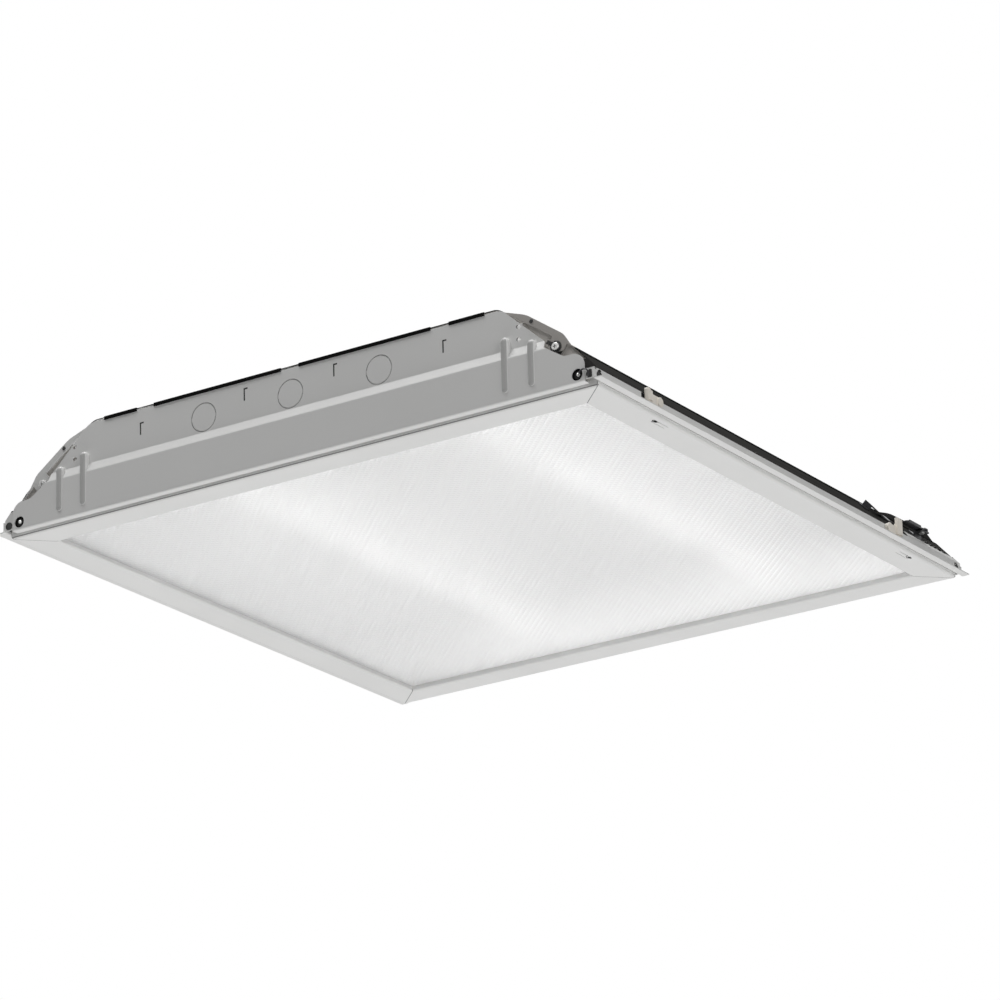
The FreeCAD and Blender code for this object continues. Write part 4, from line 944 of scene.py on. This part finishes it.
class TROFFER_OT_hooks(bpy.types.Operator):
    """Models the wire hooks and studs at the right hanger holes"""
    bl_idname = "troffer.hooks"
    bl_label = "Wire hooks and studs"

    def execute(self, context):
        sizes = context.scene.troffer_sizes
        deselect()
        bpy.ops.mesh.primitive_circle_add(
            vertices=12, radius=sizes.wire_radius, fill_type="NGON",
            location=HOOK_PLACE - Vector((sizes.wire_bend, 0, 0)))
        hook = bpy.context.object
        settle(hook)
        open_mesh(hook)
        bpy.ops.mesh.spin(steps=20, angle=math.radians(-215), center=HOOK_PLACE, axis=(0, 1, 0))
        bpy.ops.mesh.select_all(action="SELECT")
        bpy.ops.mesh.normals_make_consistent(inside=False)
        close_mesh()
        smooth(hook, 50)
        hooks = four_ways(hook, "wire_hooks", left=False)
        dress(hooks, bpy.data.materials["black_spring_steel"], "housing", "black_steel")

        deselect()
        bpy.ops.mesh.primitive_uv_sphere_add(
            segments=20, ring_count=12, radius=sizes.stud_radius, location=STUD_PLACE)
        stud = bpy.context.object
        settle(stud)
        open_mesh(stud)
        bpy.ops.mesh.bisect(plane_co=(0, STUD_BACK, 0), plane_no=(0, 1, 0), clear_outer=True,
                            use_fill=True)
        close_mesh()
        smooth(stud, 40)
        twin = copied(stud, "stud", Matrix.Translation((-2 * HANGER_HOLE.x, 0, 0)))
        studs = four_ways(joined("stud", [stud, twin]), "hook_studs", left=False)
        dress(studs, bpy.data.materials["zinc_plate"], "housing", "zinc_steel")
        return {"FINISHED"}


class TROFFER_OT_latches(bpy.types.Operator):
    """Models painted shade at the ends of the latch notches, as black wedges, and the latches'
    raised pads and bosses
    """
    bl_idname = "troffer.latches"
    bl_label = "Latch pads and notches"

    def execute(self, context):
        sizes = context.scene.troffer_sizes
        # painted shade: black wedges at the ends of the latch notches
        wedges = []
        for finger, pivot in LATCH_SPOTS:
            way = 1 if pivot > finger else -1
            wedge = slab((LIP_FACE + NOTCH_END.x, pivot + way * NOTCH_END.y, NOTCH_END.z),
                         NOTCH_WEDGE)
            open_mesh(wedge)
            bpy.ops.mesh.bisect(plane_co=(0, pivot + way * NOTCH_CUT.y, NOTCH_CUT.z),
                                plane_no=(0, -way * NOTCH_WEDGE.z, -NOTCH_WEDGE.y),
                                clear_outer=True, use_fill=True)
            close_mesh()
            wedges.append(wedge)
        dress_black(joined("notch_end_shade", wedges))

        cream = bpy.data.materials["cream_latch_plastic"]
        for (finger, pivot), (body, width, height, middle) in zip(LATCH_SPOTS, PADS):
            pad = slab((PAD_FACE, finger, middle), (sizes.pad_depth, width, height))
            bevel_faces(pad, lambda face: face.normal.z > 0.9 or face.normal.x > 0.9, 0.0007, 4)
            boss = disc((PAD_FACE, pivot, PIVOT_HEIGHT), sizes.boss_radius, 0.0012, ALONG_X)
            bevel_faces(boss, looks("X"), 0.0004, 3)
            pads = joined(body + "_pads", [pad, boss])
            smooth(pads, 35)
            dress(pads, cream, body, "latch_plastic")
        return {"FINISHED"}


class TROFFER_OT_lances(bpy.types.Operator):
    """Models painted shade along the end plates' lanced tongues, as thin black edges"""
    bl_idname = "troffer.lances"
    bl_label = "Lances"

    def execute(self, context):
        sizes = context.scene.troffer_sizes
        width, height, rim = sizes.lance_width, sizes.lance_height, sizes.lance_edge
        # painted shade: thin black edges round each lanced tongue
        edges = []
        for x, z in LANCES:
            for middle in (-x, x):
                edge = slab((middle - width / 2 + rim / 2, -PLATE_FACE, z), (rim, 0.00012, height))
                pick_faces(edge, looks("X"))
                bpy.ops.mesh.subdivide(number_cuts=1)
                close_mesh()
                cap = slab((middle, -PLATE_FACE, z + height / 2 - rim / 2), (width, 0.00014, rim))
                bevel_faces(cap, looks("Z", -1), 0.00004, 1)
                edges += [edge, cap]
        near = joined("near_edges", edges)
        far = copied(near, "far_edges", Matrix.Rotation(math.pi, 4, "Z"))
        dress_black(joined("lance_edge_shade", [near, far]))
        return {"FINISHED"}


class TROFFER_OT_gear(bpy.types.Operator):
    """Paints the lamps, lampholders, ballast and leads"""
    bl_idname = "troffer.gear"
    bl_label = "Lamps and gear"

    def execute(self, context):
        tones = context.scene.troffer_colours
        paint(coated_lamp(context.scene.troffer_light), "lamp_tube_right", "lamp_tube_left")
        paint(lamp_metal(), "lamp_bases_right", "lamp_bases_left")
        paint(moulded_plastic("white_holder_plastic", tones.holder, 0.3, 0.42),
              "rotors_right", "rotors_left", "lampholder_near_right", "lampholder_near_left",
              "lampholder_far_right", "lampholder_far_left")
        paint(moulded_plastic("ballast_paint", tones.ballast, 0.4, 0.55), "ballast")
        paint(moulded_plastic("lead_jacket", tones.lead), "leads_near", "leads_far")
        return {"FINISHED"}


# ---------------------------------------------------------------- stage

def shown(material, other):
    """1 where a camera, glossy or transmitted ray looks, and the other value elsewhere."""
    path = add(material, "ShaderNodeLightPath").outputs
    seen = either(material, path["Is Camera Ray"], path["Is Glossy Ray"],
                  path["Is Transmission Ray"])
    mix = add(material, "ShaderNodeMix", {"Factor": seen, "A": other, "B": 1.0})
    return mix.outputs["Result"]


def studio_world(light):
    """World that is white to the camera, and lights softly from below."""
    world = bpy.data.worlds.new("studio")
    bpy.context.scene.world = world
    world.use_nodes = True
    world.node_tree.nodes.clear()
    coords = add(world, "ShaderNodeTexCoord").outputs["Generated"]
    level = add(world, "ShaderNodeSeparateXYZ", {0: coords}).outputs["Z"]
    for operation, value in (("MULTIPLY", -1.0), ("MAXIMUM", 0.0), ("POWER", 4.0),
                             ("MULTIPLY", light.from_below), ("ADD", light.all_round)):
        level = maths(world, operation, level, value)
    background = add(world, "ShaderNodeBackground",
                     {"Color": (1.0, 1.0, 1.0, 1.0), "Strength": shown(world, level)})
    add(world, "ShaderNodeOutputWorld", {"Surface": background.outputs[0]})


def pale_floor(light):
    """A plain pale floor far below the ceiling light."""
    deselect()
    bpy.ops.mesh.primitive_plane_add(size=FLOOR_SIZE, location=(0, 0, FLOOR_HEIGHT))
    floor = bpy.context.object
    floor.name = "studio_floor"
    material, shader = new_material("pale_floor", (0.9, 0.9, 0.9), 0.9)
    shader.inputs["Emission Color"].default_value = (1.0, 1.0, 1.0, 1.0)
    feed(material, shader.inputs["Emission Strength"], shown(material, light.from_below))
    floor.data.materials.append(material)


def soft_light(name, place, size, power):
    """A square soft light that looks at the middle of the face."""
    lamp = bpy.data.lights.new(name, "AREA")
    lamp.energy = power
    lamp.size = size
    holder = bpy.data.objects.new(name, lamp)
    bpy.context.collection.objects.link(holder)
    holder.location = place
    holder.rotation_euler = (-place).to_track_quat("-Z", "Y").to_euler()


class TROFFER_OT_stage(bpy.types.Operator):
    """Sets the camera, the floor and the light"""
    bl_idname = "troffer.stage"
    bl_label = "Camera and light"

    def execute(self, context):
        light = context.scene.troffer_light
        studio_world(light)
        pale_floor(light)
        soft_light("key", KEY_PLACE, light.key_size, light.key_power)
        soft_light("fill", FILL_PLACE, light.fill_size, light.fill_power)
        camera = bpy.data.cameras.new("camera")
        camera.lens = light.camera_lens
        camera.sensor_width = 36.0
        camera.clip_start = 0.1
        camera.clip_end = 100.0
        holder = bpy.data.objects.new("camera", camera)
        bpy.context.collection.objects.link(holder)
        back = -CAMERA_AHEAD.normalized()
        side = CAMERA_UP.cross(back).normalized()
        turn = Matrix((side, back.cross(side), back)).transposed().to_4x4()
        holder.matrix_world = Matrix.Translation(CAMERA_PLACE) @ turn
        context.scene.camera = holder
        context.scene.view_settings.view_transform = "Standard"
        return {"FINISHED"}


class TROFFER_PT_panel(bpy.types.Panel):
    """Lists the steps, sizes, colours and light"""
    bl_idname = "TROFFER_PT_panel"
    bl_label = "Ceiling troffer"
    bl_space_type = "VIEW_3D"
    bl_region_type = "UI"
    bl_category = "Troffer"

    def draw(self, context):
        for step in STEPS:
            self.layout.operator(step.bl_idname)
        for group in (context.scene.troffer_sizes, context.scene.troffer_colours,
                      context.scene.troffer_light):
            box = self.layout.box()
            for name in group.__annotations__:
                box.prop(group, name)


STEPS = (TROFFER_OT_stage, TROFFER_OT_case, TROFFER_OT_lens, TROFFER_OT_screws, TROFFER_OT_webs,
         TROFFER_OT_seals, TROFFER_OT_plugs, TROFFER_OT_washers, TROFFER_OT_hooks,
         TROFFER_OT_latches, TROFFER_OT_lances, TROFFER_OT_gear)
GROUPS = (TrofferSizes, TrofferColours, TrofferLight)


def register():
    for item in GROUPS + STEPS + (TROFFER_PT_panel,):
        bpy.utils.register_class(item)
    bpy.types.Scene.troffer_sizes = bpy.props.PointerProperty(type=TrofferSizes)
    bpy.types.Scene.troffer_colours = bpy.props.PointerProperty(type=TrofferColours)
    bpy.types.Scene.troffer_light = bpy.props.PointerProperty(type=TrofferLight)


def unregister():
    del bpy.types.Scene.troffer_sizes
    del bpy.types.Scene.troffer_colours
    del bpy.types.Scene.troffer_light
    for item in reversed(GROUPS + STEPS + (TROFFER_PT_panel,)):
        bpy.utils.unregister_class(item)


def main():
    register()
    deselect()
    bpy.ops.troffer.stage()
    bpy.ops.troffer.case()
    bpy.ops.troffer.lens()
    bpy.ops.troffer.screws()
    bpy.ops.troffer.webs()
    bpy.ops.troffer.seals()
    bpy.ops.troffer.plugs()
    bpy.ops.troffer.washers()
    bpy.ops.troffer.hooks()
    bpy.ops.troffer.latches()
    bpy.ops.troffer.lances()
    bpy.ops.troffer.gear()


if __name__ == "__main__":
    main()
